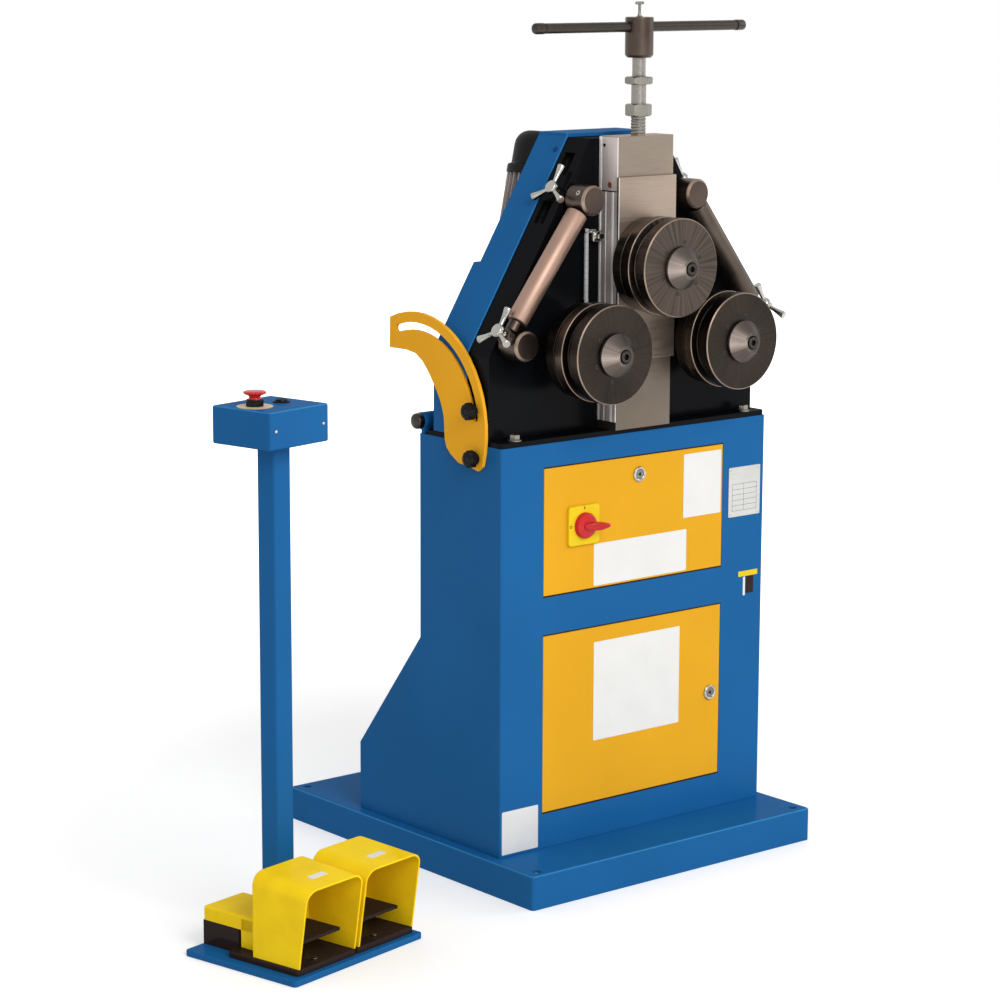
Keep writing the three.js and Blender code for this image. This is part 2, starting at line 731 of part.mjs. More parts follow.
// Lower door with its lock
const toolDoor = cut(
  panelSheet(DOOR_BOTTOM, DOOR_TOP),
  lockHole().translate(doorLockX, 0, DOOR_LOCK_Z),
);
piece(machine, 'tool_door', toolDoor, yellowPaint);
const doorLock = piece(machine, 'door_lock', camLock(DOOR_LOCK_INSET + CAM_OVERLAP, 'down'), chrome);
doorLock.position.set(doorLockX, 0, DOOR_LOCK_Z);

// Hinge shaft of the head, with a domed cap at both ends
function hingeShaft() {
  const end = CABINET_HALF + HINGE_PIN_OVERHANG;
  const seat = CABINET_HALF - KNUCKLE_INSET + TOUCH_GAP;
  const shoulder = end - HINGE_CAP / 2;
  const side = [
    [HINGE_PIN, seat], [HINGE_CAP, seat], [HINGE_CAP, shoulder], [HINGE_CAP * 0.75, end - 1.5], [0, end],
  ];
  const mirrored = side.map(([radius, reach]) => [radius, -reach]).reverse();
  return turned('x', [...mirrored, ...side]);
}

const shaftMesh = piece(machine, 'hinge_shaft', hingeShaft(), machinedSteel);
shaftMesh.position.set(0, HINGE_Y, HINGE_Z);

// Quadrant plate with its arc slot
const quadrantBack = -SIDE_FACE - TOUCH_GAP;
const quadrantFront = quadrantBack - QUADRANT_SHEET;

function arcPoints(centre, radius, from, to, count) {
  const points = [];
  for (let i = 0; i <= count; i += 1) {
    const turn = THREE.MathUtils.degToRad(from + (to - from) * i / count);
    points.push([centre.y + radius * Math.cos(turn), centre.z + radius * Math.sin(turn)]);
  }
  return points;
}

function slotPath() {
  const centre = { y: HINGE_Y, z: HINGE_Z };
  const [from, to] = [SLOT_START_ANGLE, SLOT_END_ANGLE];
  const points = [
    ...arcPoints(centre, SLOT_RADIUS + SLOT_HALF_WIDTH, from, to, 16),
    ...arcPoints(onQuadrant(to, SLOT_RADIUS), SLOT_HALF_WIDTH, to, to + 180, 4).slice(1, -1),
    ...arcPoints(centre, SLOT_RADIUS - SLOT_HALF_WIDTH, to, from, 16),
    ...arcPoints(onQuadrant(from, SLOT_RADIUS), SLOT_HALF_WIDTH, from + 180, from + 360, 4).slice(1, -1),
  ];
  return new THREE.Path(points.map(([u, v]) => new THREE.Vector2(u, v)));
}

function quadrantPlate() {
  const centre = { y: HINGE_Y, z: HINGE_Z };
  const outer = arcPoints(centre, QUADRANT_RADIUS, QUADRANT_TIP_ANGLE, QUADRANT_FOOT_ANGLE, 18);
  const heel = onQuadrant(QUADRANT_HEEL_ANGLE, QUADRANT_HEEL_RADIUS);
  const foot = onQuadrant(QUADRANT_TOE_ANGLE, QUADRANT_TOE_RADIUS);
  const bend = QUADRANT_INNER.map(([angle, radius]) => {
    const place = onQuadrant(angle, radius);
    return new THREE.Vector2(place.y, place.z);
  });
  const inner = new THREE.SplineCurve(bend).getPoints(16).map((point) => [point.x, point.y]);
  const shape = shapeOf([...outer, [heel.y, heel.z], [foot.y, foot.z], ...inner]);
  shape.holes.push(slotPath());
  const knob = footKnobPlace();
  const knobHole = hole('x', KNOB_STUD + RUNNING_GAP, quadrantFront - 1, quadrantBack + 1, 12);
  const plate = prism('yz', shape, quadrantFront, quadrantBack);
  return cut(plate, knobHole.translate(0, knob.y, knob.z));
}

piece(machine, 'quadrant_plate', quadrantPlate(), yellowPaint);

function clampKnob(reach) {
  const seat = -TOUCH_GAP;
  return turned('x', [
    [0, -KNOB_DEPTH], [KNOB_RADIUS * 0.6, -KNOB_DEPTH], [KNOB_RADIUS, -KNOB_DEPTH * 0.75],
    [KNOB_RADIUS, -KNOB_DEPTH * 0.3], [KNOB_RADIUS * 0.65, -KNOB_DEPTH * 0.2],
    [KNOB_RADIUS * 0.65, seat], [KNOB_STUD, seat], [KNOB_STUD, reach], [0, reach],
  ], 14);
}

const wallReach = QUADRANT_SHEET + TOUCH_GAP + SIDE_FACE - CABINET_HALF + CABINET_SHEET;
const footKnob = piece(machine, 'quadrant_foot_knob', clampKnob(wallReach), blackPlastic);
footKnob.position.set(quadrantFront, footKnobPlace().y, footKnobPlace().z);

// The head, which tilts back about the hinge shaft
const head = groupAt(machine, 0, 0, HEAD_FOOT);
const hingeAbove = HINGE_Z - HEAD_FOOT;

function headBasePlate() {
  const half = CABINET_HALF;
  const outline = roundedRectangle(-half, half, CABINET_FRONT, HEAD_PLATE_BACK, HEAD_PLATE_CORNER);
  let plate = asSolid(prism('xy', outline, -HEAD_PLATE, 0, 3));
  const knuckleEnd = CABINET_HALF - KNUCKLE_INSET - KNUCKLE_LENGTH - 1;
  for (const side of [-1, 1]) {
    const [from, to] = sideSpan(side, knuckleEnd, knuckleEnd - LUG_LENGTH);
    const tube = rod('x', HINGE_TUBE, from, to).translate(0, HINGE_Y, hingeAbove);
    const web = block(from, to, HEAD_PLATE_BACK - 4, HINGE_Y - 2, -HEAD_PLATE, hingeAbove - 3);
    const bore = hole('x', HINGE_PIN + RUNNING_GAP, from - 1, to + 1).translate(0, HINGE_Y, hingeAbove);
    plate = cut(join(plate, tube, web), bore);
  }
  return plate;
}

piece(head, 'head_base_plate', headBasePlate(), blackPaint);

function headOutline(grow, foot) {
  const shift = grow * Math.tan((Math.PI / 2 - SLOPE_ANGLE) / 2);
  const eave = grow * Math.tan(SLOPE_ANGLE / 2);
  const side = HEAD_HALF_WIDTH + grow;
  const top = HEAD_TOP + grow;
  return shapeOf([
    [-side, foot], [side, foot], [side, EAVES + eave],
    [HEAD_TOP_HALF + shift, top], [-HEAD_TOP_HALF - shift, top], [-side, EAVES + eave],
  ]);
}

function flankFrame(parent, side) {
  const frame = groupAt(parent, side * HEAD_HALF_WIDTH, 0, EAVES);
  frame.rotation.y = -side * SLOPE_ANGLE;
  return frame;
}

function ontoFlank(geometry, side) {
  geometry.rotateY(-side * SLOPE_ANGLE);
  return geometry.translate(side * HEAD_HALF_WIDTH, 0, EAVES);
}

function headHousing() {
  const outside = prism('xz', headOutline(0, TOUCH_GAP), HEAD_FRONT, HEAD_BACK);
  const inside = prism('xz', headOutline(-HEAD_WALL, -1), HEAD_FRONT + HEAD_FRONT_PLATE, HEAD_BACK + 1);
  let housing = cut(outside, inside);
  for (const side of [-1, 1]) {
    const boss = rod('y', BOSS_RADIUS, ROLL_BACK + BOSS_CLEARANCE, HEAD_FRONT + 2, 20);
    const bore = hole('y', JOURNAL_RADIUS + RUNNING_GAP, ROLL_BACK, HEAD_BACK);
    housing = join(housing, boss.translate(side * ROLL_SPACING, 0, LOWER_ROLL));
    housing = cut(housing, bore.translate(side * ROLL_SPACING, 0, LOWER_ROLL));
    for (const station of [GUIDE_LOW_STATION, GUIDE_HIGH_STATION]) {
      const pinHole = hole(
        'y', GUIDE_SHANK + RUNNING_GAP, HEAD_FRONT - 1, HEAD_FRONT + HEAD_FRONT_PLATE + 1,
      );
      pinHole.translate(-side * GUIDE_INSET, 0, station);
      housing = cut(housing, ontoFlank(pinHole, side));
    }
    const studHole = hole('x', CLAMP_STUD + RUNNING_GAP, ...sideSpan(side, -HEAD_WALL - 3, 3), 10);
    housing = cut(housing, ontoFlank(studHole.translate(0, CLAMP_Y, GUIDE_HIGH_STATION), side));
    for (const station of WINDOW_STATIONS) {
      const window = block(
        ...sideSpan(side, -HEAD_WALL - 4, 4), WINDOW_Y - WINDOW_DEPTH / 2, WINDOW_Y + WINDOW_DEPTH / 2,
        station - WINDOW_LENGTH / 2, station + WINDOW_LENGTH / 2,
      );
      housing = cut(housing, ontoFlank(window, side));
    }
  }
  const knob = headKnobPlace();
  const knobHole = hole(
    'x', KNOB_STUD + RUNNING_GAP, -HEAD_HALF_WIDTH - 1, HEAD_WALL + 1 - HEAD_HALF_WIDTH, 16,
  );
  return cut(housing, knobHole.translate(0, knob.y, knob.z - HEAD_FOOT));
}

piece(head, 'head_housing', headHousing(), blackPaint);

function bearingPlate() {
  const grow = -HEAD_WALL - TOUCH_GAP;
  let plate = asSolid(prism('xz', headOutline(grow, TOUCH_GAP), HEAD_BACK - BEARING_PLATE, HEAD_BACK));
  for (const side of [-1, 1]) {
    const bore = hole('y', SHAFT_RADIUS + RUNNING_GAP, HEAD_BACK - BEARING_PLATE - 1, HEAD_BACK + 1);
    plate = cut(plate, bore.translate(side * ROLL_SPACING, 0, LOWER_ROLL));
  }
  const pinionBore = hole('y', PINION_SHAFT + RUNNING_GAP, HEAD_BACK - BEARING_PLATE - 1, HEAD_BACK + 1);
  return cut(plate, pinionBore.translate(0, 0, LOWER_ROLL));
}

piece(head, 'bearing_plate', bearingPlate(), darkSteel);

function gearCover() {
  const front = HEAD_BACK + TOUCH_GAP;
  const whole = prism('xz', headOutline(COVER_PROUD, TOUCH_GAP), front, COVER_BACK_LOW);
  const rise = block(
    -HEAD_TOP_HALF - COVER_PROUD, HEAD_TOP_HALF + COVER_PROUD,
    front, COVER_BACK_HIGH, HEAD_TOP - 1, HEAD_TOP + COVER_RISE,
  );
  const reach = HEAD_HALF_WIDTH + 10;
  const notch = block(-reach, reach, COVER_BACK_HIGH, COVER_BACK_LOW + 1, COVER_STEP, HEAD_TOP + 20);
  const insideWall = COVER_WALL - COVER_PROUD;
  const hollow = prism('xz', headOutline(-insideWall, -1), front - 1, COVER_BACK_HIGH - COVER_WALL);
  const lowHollow = cut(
    prism('xz', headOutline(-insideWall, -1), front - 1, COVER_BACK_LOW - COVER_WALL),
    block(-reach, reach, front - 2, COVER_BACK_LOW, COVER_STEP - COVER_WALL, HEAD_TOP + 20),
  );
  const eye = hole('y', 6, COVER_BACK_HIGH - COVER_WALL - 1, COVER_BACK_HIGH + 1, 16);
  const mouth = hole('y', SPIGOT_RADIUS + TOUCH_GAP, COVER_BACK_LOW - COVER_WALL - 1, COVER_BACK_LOW + 1);
  return cut(
    join(whole, rise), notch, hollow, lowHollow,
    eye.translate(-HEAD_TOP_HALF / 2, 0, HEAD_TOP - 24), mouth.translate(0, 0, LOWER_ROLL),
  );
}

piece(head, 'gear_cover', gearCover(), bluePaint);

const headKnob = piece(
  head, 'head_clamp_knob',
  clampKnob(QUADRANT_SHEET + TOUCH_GAP + SIDE_FACE - HEAD_HALF_WIDTH + HEAD_WALL), blackPlastic,
);
headKnob.position.set(quadrantFront, headKnobPlace().y, headKnobPlace().z - HEAD_FOOT);

// Column with the ram slot and the threaded nut of the spindle
const spindleY = (COLUMN_FRONT + RAM_BACK) / 2;
const columnBack = HEAD_FRONT - TOUCH_GAP;

function columnBlock() {
  const body = block(-COLUMN_HALF, COLUMN_HALF, COLUMN_FRONT, columnBack, TOUCH_GAP, COLUMN_TOP);
  const slotHalf = RAM_HALF + RUNNING_GAP;
  const slotBottom = RAM_BOTTOM - RAM_TRAVEL - TOUCH_GAP;
  const slot = block(
    -slotHalf, slotHalf, COLUMN_FRONT - 1, RAM_BACK + TOUCH_GAP, slotBottom, RAM_TOP + TOUCH_GAP,
  );
  const bore = hole('z', SPINDLE_RADIUS + 2, RAM_TOP - 1, COLUMN_TOP + 1);
  const seat = hole(
    'z', SPINDLE_NUT_RADIUS + TOUCH_GAP, COLUMN_TOP - SPINDLE_NUT_LENGTH - TOUCH_GAP, COLUMN_TOP + 1,
  );
  return cut(body, slot, bore.translate(0, spindleY, 0), seat.translate(0, spindleY, 0));
}

piece(head, 'column_block', columnBlock(), machinedSteel);

const nutMesh = piece(
  head, 'spindle_nut',
  ring('z', SPINDLE_RADIUS + RUNNING_GAP, SPINDLE_NUT_RADIUS, COLUMN_TOP - SPINDLE_NUT_LENGTH, COLUMN_TOP),
  bronze,
);
nutMesh.position.y = spindleY;

function depthGauge() {
  const half = GAUGE_BLOCK / 2;
  const wall = HEAD_FRONT - TOUCH_GAP;
  const stick = rod('z', GAUGE_ROD, GAUGE_BOTTOM, GAUGE_TOP, 12).translate(GAUGE_X, GAUGE_Y, 0);
  const low = block(
    GAUGE_X - half, GAUGE_X + half, GAUGE_Y - GAUGE_ROD / 2, wall,
    GAUGE_BOTTOM, GAUGE_BOTTOM + GAUGE_FOOT_HEIGHT,
  );
  const gripTop = GAUGE_TOP - GAUGE_TIP;
  const high = block(
    GAUGE_X - half, GAUGE_X + half, GAUGE_Y - half, wall, gripTop - GAUGE_BLOCK, gripTop,
  );
  const knob = rod('x', GAUGE_KNOB, -half - GAUGE_KNOB_LENGTH, -half, 16);
  knob.translate(GAUGE_X + 1, GAUGE_Y, gripTop - half);
  return join(stick, low, high, knob);
}

piece(head, 'depth_gauge', depthGauge(), whiteRod);

// Ram, its front plate, and the upper roll that they carry
function ramBody() {
  const body = block(
    -RAM_HALF, RAM_HALF, COLUMN_FRONT, RAM_BACK, RAM_BOTTOM, RAM_TOP,
  );
  const shaftBore = hole('y', JOURNAL_RADIUS + RUNNING_GAP, COLUMN_FRONT - 1, RAM_BACK - 4);
  const spindleBore = hole('z', SPINDLE_RADIUS + RUNNING_GAP, RAM_TOP - SPINDLE_SEAT, RAM_TOP + 1);
  return cut(body, shaftBore.translate(0, 0, UPPER_ROLL), spindleBore.translate(0, spindleY, 0));
}

piece(head, 'ram', ramBody(), machinedSteel);

const ramPlateBack = COLUMN_FRONT - TOUCH_GAP;
const ramPlateFront = ramPlateBack - RAM_PLATE;
const ramPlate = cut(
  block(
    -RAM_PLATE_HALF, RAM_PLATE_HALF, ramPlateFront, ramPlateBack, RAM_PLATE_BOTTOM, RAM_PLATE_TOP,
  ),
  hole('y', SHAFT_COLLAR + 1, ramPlateFront - 1, ramPlateBack + 1).translate(0, 0, UPPER_ROLL),
);
piece(head, 'ram_front_plate', ramPlate, machinedSteel);

function rollDisc() {
  const bore = flatsRadius(SHAFT_RADIUS + TOUCH_GAP, ROLL_SIDES);
  const front = ROLL_FRONT;
  const chamfer = 2;
  return turned('y', [
    [bore, front], [ROLL_RADIUS - chamfer, front], [ROLL_RADIUS, front + chamfer],
    [ROLL_RADIUS, front + ROLL_FRONT_DISC], [ROLL_GROOVE, front + ROLL_FRONT_DISC + 2],
    [ROLL_GROOVE, front + ROLL_MIDDLE_START - 2], [ROLL_RADIUS, front + ROLL_MIDDLE_START],
    [ROLL_RADIUS, front + ROLL_MIDDLE_END], [ROLL_STEP - 4, front + ROLL_MIDDLE_END + 1],
    [ROLL_STEP - 4, front + ROLL_MIDDLE_END + 4], [ROLL_STEP, front + ROLL_MIDDLE_END + 5],
    [ROLL_STEP, ROLL_BACK], [bore, ROLL_BACK], [bore, front],
  ], ROLL_SIDES);
}

function rollShaft(end) {
  const seat = ROLL_BACK + TOUCH_GAP;
  const tip = ROLL_FRONT - SHAFT_OVERHANG;
  const profile = [
    [0, tip], [SHAFT_RADIUS * 0.5, tip], [SHAFT_RADIUS * 0.5, ROLL_FRONT + 4],
    [SHAFT_RADIUS, ROLL_FRONT + 4], [SHAFT_RADIUS, seat],
    [SHAFT_COLLAR, seat], [SHAFT_COLLAR, seat + SHAFT_COLLAR_WIDTH],
    [JOURNAL_RADIUS, seat + SHAFT_COLLAR_WIDTH],
  ];
  if (end > HEAD_FRONT) {
    const shoulder = HEAD_BACK - BEARING_PLATE - 6;
    profile.push([JOURNAL_RADIUS, shoulder], [SHAFT_RADIUS, shoulder], [SHAFT_RADIUS, end]);
  } else {
    profile.push([JOURNAL_RADIUS, end]);
  }
  profile.push([0, end]);
  return turned('y', profile);
}

function rollNut() {
  const bore = flatsRadius(SHAFT_RADIUS * 0.5 + TOUCH_GAP, 16);
  const back = ROLL_FRONT - TOUCH_GAP;
  const front = back - NUT_LENGTH;
  return join(
    turned('y', [
      [bore, back], [NUT_FOOT, back], [NUT_FOOT, back - 6], [NUT_TIP, front],
      [BOLT_RADIUS - 1, front], [BOLT_RADIUS - 1, front + 3], [bore, front + 3], [bore, back],
    ], 16),
    ring('y', 4.2, BOLT_RADIUS, front - BOLT_LENGTH, front + 2, 10),
  );
}

function rollSet(parent, prefix, x, z, shaftEnd) {
  const place = groupAt(parent, x, 0, z);
  piece(place, prefix + '_roll_shaft', rollShaft(shaftEnd), machinedSteel);
  piece(place, prefix + '_roll', rollDisc(), darkSteel);
  piece(place, prefix + '_roll_nut', rollNut(), chrome);
  return place;
}

rollSet(head, 'upper', 0, UPPER_ROLL, RAM_BACK - 4 - TOUCH_GAP);

// Gears: straight-flanked teeth, eased so that they run clear
function gearWheel(teeth, bore) {
  const pitch = GEAR_MODULE * teeth / 2;
  const tip = pitch + 0.85 * GEAR_MODULE;
  const root = pitch - 1.1 * GEAR_MODULE;
  const quarter = Math.PI / (2 * teeth);
  const half = 0.8 * quarter;
  const lean = Math.tan(THREE.MathUtils.degToRad(20)) / pitch;
  const tipHalf = half - lean * (tip - pitch) * 1.35;
  const rootHalf = half + lean * (pitch - root);
  const points = [];
  for (let i = 0; i < teeth; i += 1) {
    const middle = 4 * quarter * i;
    for (const [radius, offset] of [[root, -rootHalf], [tip, -tipHalf], [tip, tipHalf], [root, rootHalf]]) {
      points.push([radius * Math.cos(middle + offset), radius * Math.sin(middle + offset)]);
    }
  }
  const shape = shapeOf(points);
  const wheel = prism('xz', shape, GEAR_FRONT, GEAR_FRONT + GEAR_WIDTH);
  return bore > 0 ? cut(wheel, hole('y', bore, GEAR_FRONT - 1, GEAR_FRONT + GEAR_WIDTH + 1)) : wheel;
}

for (const [prefix, side] of [['left', -1], ['right', 1]]) {
  const place = rollSet(head, prefix, side * ROLL_SPACING, LOWER_ROLL, SHAFT_END);
  piece(place, prefix + '_roll_gear', gearWheel(GEAR_TEETH, SHAFT_RADIUS + TOUCH_GAP), darkSteel);
}

// Drive: pinion on the output shaft of a reducer, and the leaning motor that stands on it
const pinionEnd = REDUCER_FRONT + 40;
const pinionShaft = join(
  gearWheel(PINION_TEETH, 0),
  rod('y', PINION_SHAFT, HEAD_BACK - BEARING_PLATE, pinionEnd),
);
const pinionMesh = piece(head, 'pinion_shaft', pinionShaft, darkSteel);
pinionMesh.position.z = LOWER_ROLL;

const drivePlace = groupAt(head, 0, 0, LOWER_ROLL);
drivePlace.rotation.y = THREE.MathUtils.degToRad(DRIVE_LEAN);

function reducerHousing() {
  const body = block(
    -REDUCER_HALF_WIDTH, REDUCER_HALF_WIDTH, REDUCER_FRONT, REDUCER_BACK,
    -REDUCER_HALF_HEIGHT, REDUCER_HALF_HEIGHT,
  );
  const spigot = rod('y', SPIGOT_RADIUS, COVER_BACK_LOW - COVER_WALL, REDUCER_FRONT + 2);
  const flange = rod('y', SPIGOT_FLANGE, COVER_BACK_LOW + TOUCH_GAP, COVER_BACK_LOW + SPIGOT_FLANGE_DEPTH);
  const socket = hole('y', PINION_SHAFT + RUNNING_GAP, COVER_BACK_LOW - COVER_WALL - 1, pinionEnd + 1);
  const eased = cut(body, cornerCut(-1), cornerCut(1));
  const cap = rod('y', REDUCER_CAP, REDUCER_BACK - 2, REDUCER_BACK + REDUCER_CAP_DEPTH);
  return cut(join(eased, spigot, flange, cap), socket);
}

function cornerCut(side) {
  const x = side * (REDUCER_HALF_WIDTH + 1);
  const z = -REDUCER_HALF_HEIGHT - 1;
  const shape = shapeOf([[x, z], [x - side * REDUCER_CORNER, z], [x, z + REDUCER_CORNER]]);
  return prism('xz', shape, REDUCER_FRONT - 1, REDUCER_BACK + 1);
}

piece(drivePlace, 'reducer_housing', reducerHousing(), greyCast);

const motorY = (REDUCER_FRONT + REDUCER_BACK) / 2;
const motorFoot = REDUCER_HALF_HEIGHT + TOUCH_GAP;

function driveMotor() {
  let motor = join(
    rod('z', MOTOR_FLANGE, motorFoot, motorFoot + MOTOR_FLANGE_DEPTH, 16),
    rod('z', MOTOR_RADIUS, motorFoot + 2, MOTOR_TOP, 16),
  );
  for (let i = 0; i < MOTOR_FINS; i += 1) {
    const fin = block(
      MOTOR_RADIUS - 3, MOTOR_RADIUS + MOTOR_FIN, -MOTOR_FIN_WIDTH / 2, MOTOR_FIN_WIDTH / 2,
      motorFoot + MOTOR_FLANGE_DEPTH + 12, MOTOR_TOP - 4,
    );
    motor = join(motor, fin.rotateZ(2 * Math.PI * i / MOTOR_FINS));
  }
  return motor;
}

const motorMesh = piece(drivePlace, 'drive_motor', driveMotor(), greyCast);
motorMesh.position.y = motorY;

const cowlShape = turned('z', [
  [MOTOR_RADIUS + 1, MOTOR_TOP + TOUCH_GAP], [COWL_RIM, MOTOR_TOP + TOUCH_GAP],
  [COWL_RIM, MOTOR_TOP + COWL_RIM_HEIGHT], [COWL_RADIUS, MOTOR_TOP + COWL_RIM_HEIGHT + 4],
  [COWL_RADIUS, COWL_TOP - COWL_DOME], [COWL_RADIUS - COWL_DOME / 6, COWL_TOP - COWL_DOME / 2],
  [COWL_RADIUS - COWL_DOME / 2, COWL_TOP - COWL_DOME / 8], [COWL_RADIUS - COWL_DOME * 5 / 6, COWL_TOP],
  [COWL_EYE, COWL_TOP], [COWL_EYE, COWL_TOP - COWL_WALL],
  [COWL_RADIUS - COWL_DOME * 5 / 6 - 1, COWL_TOP - COWL_WALL],
  [COWL_RADIUS - COWL_WALL, COWL_TOP - COWL_DOME - 1], [COWL_RADIUS - COWL_WALL, MOTOR_TOP + COWL_WALL],
  [MOTOR_RADIUS + 1, MOTOR_TOP + COWL_WALL], [MOTOR_RADIUS + 1, MOTOR_TOP + TOUCH_GAP],
], 20);
const cowlMesh = piece(drivePlace, 'motor_fan_cowl', cowlShape, blackPlastic);
cowlMesh.position.y = motorY;

// Spindle, its nuts and the T-handle
const spindlePlace = groupAt(head, 0, spindleY, 0);
const hubTop = HUB_BOTTOM + HUB_LENGTH;
const stopNutFoot = COLUMN_TOP + RAM_TRAVEL + TOUCH_GAP;

const spindleTop = BAR_LEVEL - BAR_RADIUS - 2 * TOUCH_GAP;
const spindleBar = rod('z', SPINDLE_RADIUS, RAM_TOP - SPINDLE_SEAT + TOUCH_GAP, spindleTop);
piece(spindlePlace, 'spindle', spindleBar, machinedSteel);

function hexNut(radius, from, length) {
  const tool = ring('z', SPINDLE_RADIUS + TOUCH_GAP, radius, from, from + length, 6);
  const bore = hole('z', SPINDLE_RADIUS + TOUCH_GAP, from - 1, from + length + 1);
  return cut(join(tool, rod('z', SPINDLE_RADIUS + 2, from, from + length)), bore);
}

piece(spindlePlace, 'stop_nut', hexNut(STOP_NUT_RADIUS, stopNutFoot, STOP_NUT_LENGTH), darkSteel);
const lockNutShape = hexNut(LOCK_NUT_RADIUS, LOCK_NUT_LEVEL, LOCK_NUT_LENGTH);
piece(spindlePlace, 'lock_nut', lockNutShape, machinedSteel);

function handleHub() {
  const body = turned('z', [
    [0, HUB_BOTTOM], [HUB_RADIUS - 2, HUB_BOTTOM], [HUB_RADIUS, HUB_BOTTOM + 2],
    [HUB_RADIUS, hubTop - 2], [HUB_RADIUS - 2, hubTop], [0, hubTop],
  ], 16);
  const screwTop = hubTop + CAP_SCREW_LENGTH;
  const screw = turned('z', [
    [0, hubTop - 1], [CAP_SCREW_FOOT, hubTop - 1], [CAP_SCREW_FOOT, hubTop + 1],
    [CAP_SCREW_RADIUS, hubTop + CAP_SCREW_FOOT], [CAP_SCREW_RADIUS, screwTop - 1], [0, screwTop - 1],
  ], 12);
  const wing = rod('x', CAP_SCREW_RADIUS, -CAP_SCREW_WING, CAP_SCREW_WING, 12);
  wing.translate(0, 0, screwTop - CAP_SCREW_RADIUS);
  const socket = hole('z', SPINDLE_RADIUS + TOUCH_GAP, HUB_BOTTOM - 1, BAR_LEVEL - BAR_RADIUS - TOUCH_GAP);
  const cross = hole('x', BAR_RADIUS + RUNNING_GAP, -HUB_RADIUS - 1, HUB_RADIUS + 1, 20);
  return cut(join(body, screw, wing), socket, cross.translate(0, 0, BAR_LEVEL));
}

piece(spindlePlace, 't_handle_hub', handleHub(), darkSteel);

function tommyBar() {
  const half = BAR_LENGTH / 2;
  const neck = half - 2 * BAR_BALL;
  const side = [
    [BAR_RADIUS, neck], [BAR_BALL, neck + 2], [BAR_BALL, half - 4], [BAR_BALL * 0.6, half], [0, half],
  ];
  const mirrored = side.map(([radius, reach]) => [radius, -reach]).reverse();
  return turned('x', [...mirrored, ...side], 16).translate(BAR_SHIFT, 0, 0);
}

const barMesh = piece(spindlePlace, 'tommy_bar', tommyBar(), darkSteel);
barMesh.position.z = BAR_LEVEL;

// Lateral guides on the two slopes of the head
function ontoAxle(geometry, side) {
  geometry.rotateY(-side * AXLE_LEAN);
  return geometry.translate(side * AXLE_LOW_REACH, GUIDE_Y, GUIDE_LOW_STATION);
}

function guideBracket(side) {
  const x = -side * GUIDE_INSET;
  const front = GUIDE_Y - GUIDE_HEAD_DEPTH / 2;
  const back = GUIDE_Y + GUIDE_HEAD_DEPTH / 2;
  const crossBlock = rod('x', CROSS_BLOCK, ...sideSpan(side, -GUIDE_INSET, CROSS_BLOCK_REACH), 16);
  let bracket = join(
    ontoAxle(rod('z', GUIDE_AXLE, 0, AXLE_LENGTH, 16), side),
    ontoAxle(rod('z', GUIDE_COLLAR, CROSS_BLOCK - 2, ROLLER_FOOT - GUIDE_COLLAR_GAP, 16), side),
    crossBlock.translate(0, GUIDE_Y, GUIDE_LOW_STATION),
  );
  for (const station of [GUIDE_LOW_STATION, GUIDE_HIGH_STATION]) {
    const pin = turned('y', [
      [0, front], [GUIDE_HEAD - 3, front], [GUIDE_HEAD, front + 3], [GUIDE_HEAD, back],
      [GUIDE_SHANK, back], [GUIDE_SHANK, GUIDE_SHANK_END], [0, GUIDE_SHANK_END],
    ]);
    bracket = join(bracket, pin.translate(x, 0, station));
  }
  const studHole = hole(
    'x', CLAMP_STUD + RUNNING_GAP,
    ...sideSpan(side, CROSS_BLOCK_REACH - CROSS_BLOCK_BORE, CROSS_BLOCK_REACH + 1), 10,
  );
  return cut(bracket, studHole.translate(0, GUIDE_Y, GUIDE_LOW_STATION));
}

function guideRoller(side) {
  return ontoAxle(ring('z', GUIDE_AXLE + RUNNING_GAP, GUIDE_ROLLER, ROLLER_FOOT, ROLLER_TOP), side);
}

function clampHandle(side, studTip) {
  const seat = TOUCH_GAP;
  const outer = seat + CLAMP_HUB_LENGTH;
  let handle = join(
    rod('x', CLAMP_STUD, studTip, seat + 1, 10),
    turned('x', [
      [0, seat], [CLAMP_NECK, seat], [CLAMP_NECK, outer - CLAMP_BELL - 3],
      [CLAMP_HUB, outer - CLAMP_BELL], [CLAMP_HUB, outer - 2], [CLAMP_NECK, outer], [0, outer],
    ], 12),
  );
  for (let i = 0; i < CLAMP_ARMS; i += 1) {
    const turn = 2 * Math.PI * i / CLAMP_ARMS;
    const arm = rod('z', CLAMP_ARM, CLAMP_HUB - 4, CLAMP_REACH, 5).translate(outer - CLAMP_ARM_DROP, 0, 0);
    const ball = new THREE.SphereGeometry(CLAMP_BALL, 6, 4);
    ball.translate(outer - CLAMP_ARM_DROP, 0, CLAMP_REACH + 3);
    handle = join(handle, arm.rotateX(turn), ball.rotateX(turn));
  }
  const geometry = geometryOf(handle);
  return side > 0 ? geometry : geometry.rotateY(Math.PI);
}

for (const [prefix, side] of [['left', -1], ['right', 1]]) {
  const flank = flankFrame(head, side);
  piece(flank, prefix + '_guide_bracket', guideBracket(side), darkSteel);
  piece(flank, prefix + '_guide_roller', guideRoller(side), machinedSteel);
  const lower = piece(
    flank, prefix + '_lower_clamp', clampHandle(side, TOUCH_GAP - CROSS_BLOCK_BORE), chrome,
  );
  lower.position.set(side * CROSS_BLOCK_REACH, GUIDE_Y, GUIDE_LOW_STATION);
  const upperTip = GUIDE_SHANK - GUIDE_INSET + TOUCH_GAP;
  const upper = piece(flank, prefix + '_upper_clamp', clampHandle(side, upperTip), chrome);
  upper.position.set(0, CLAMP_Y, GUIDE_HIGH_STATION);
}

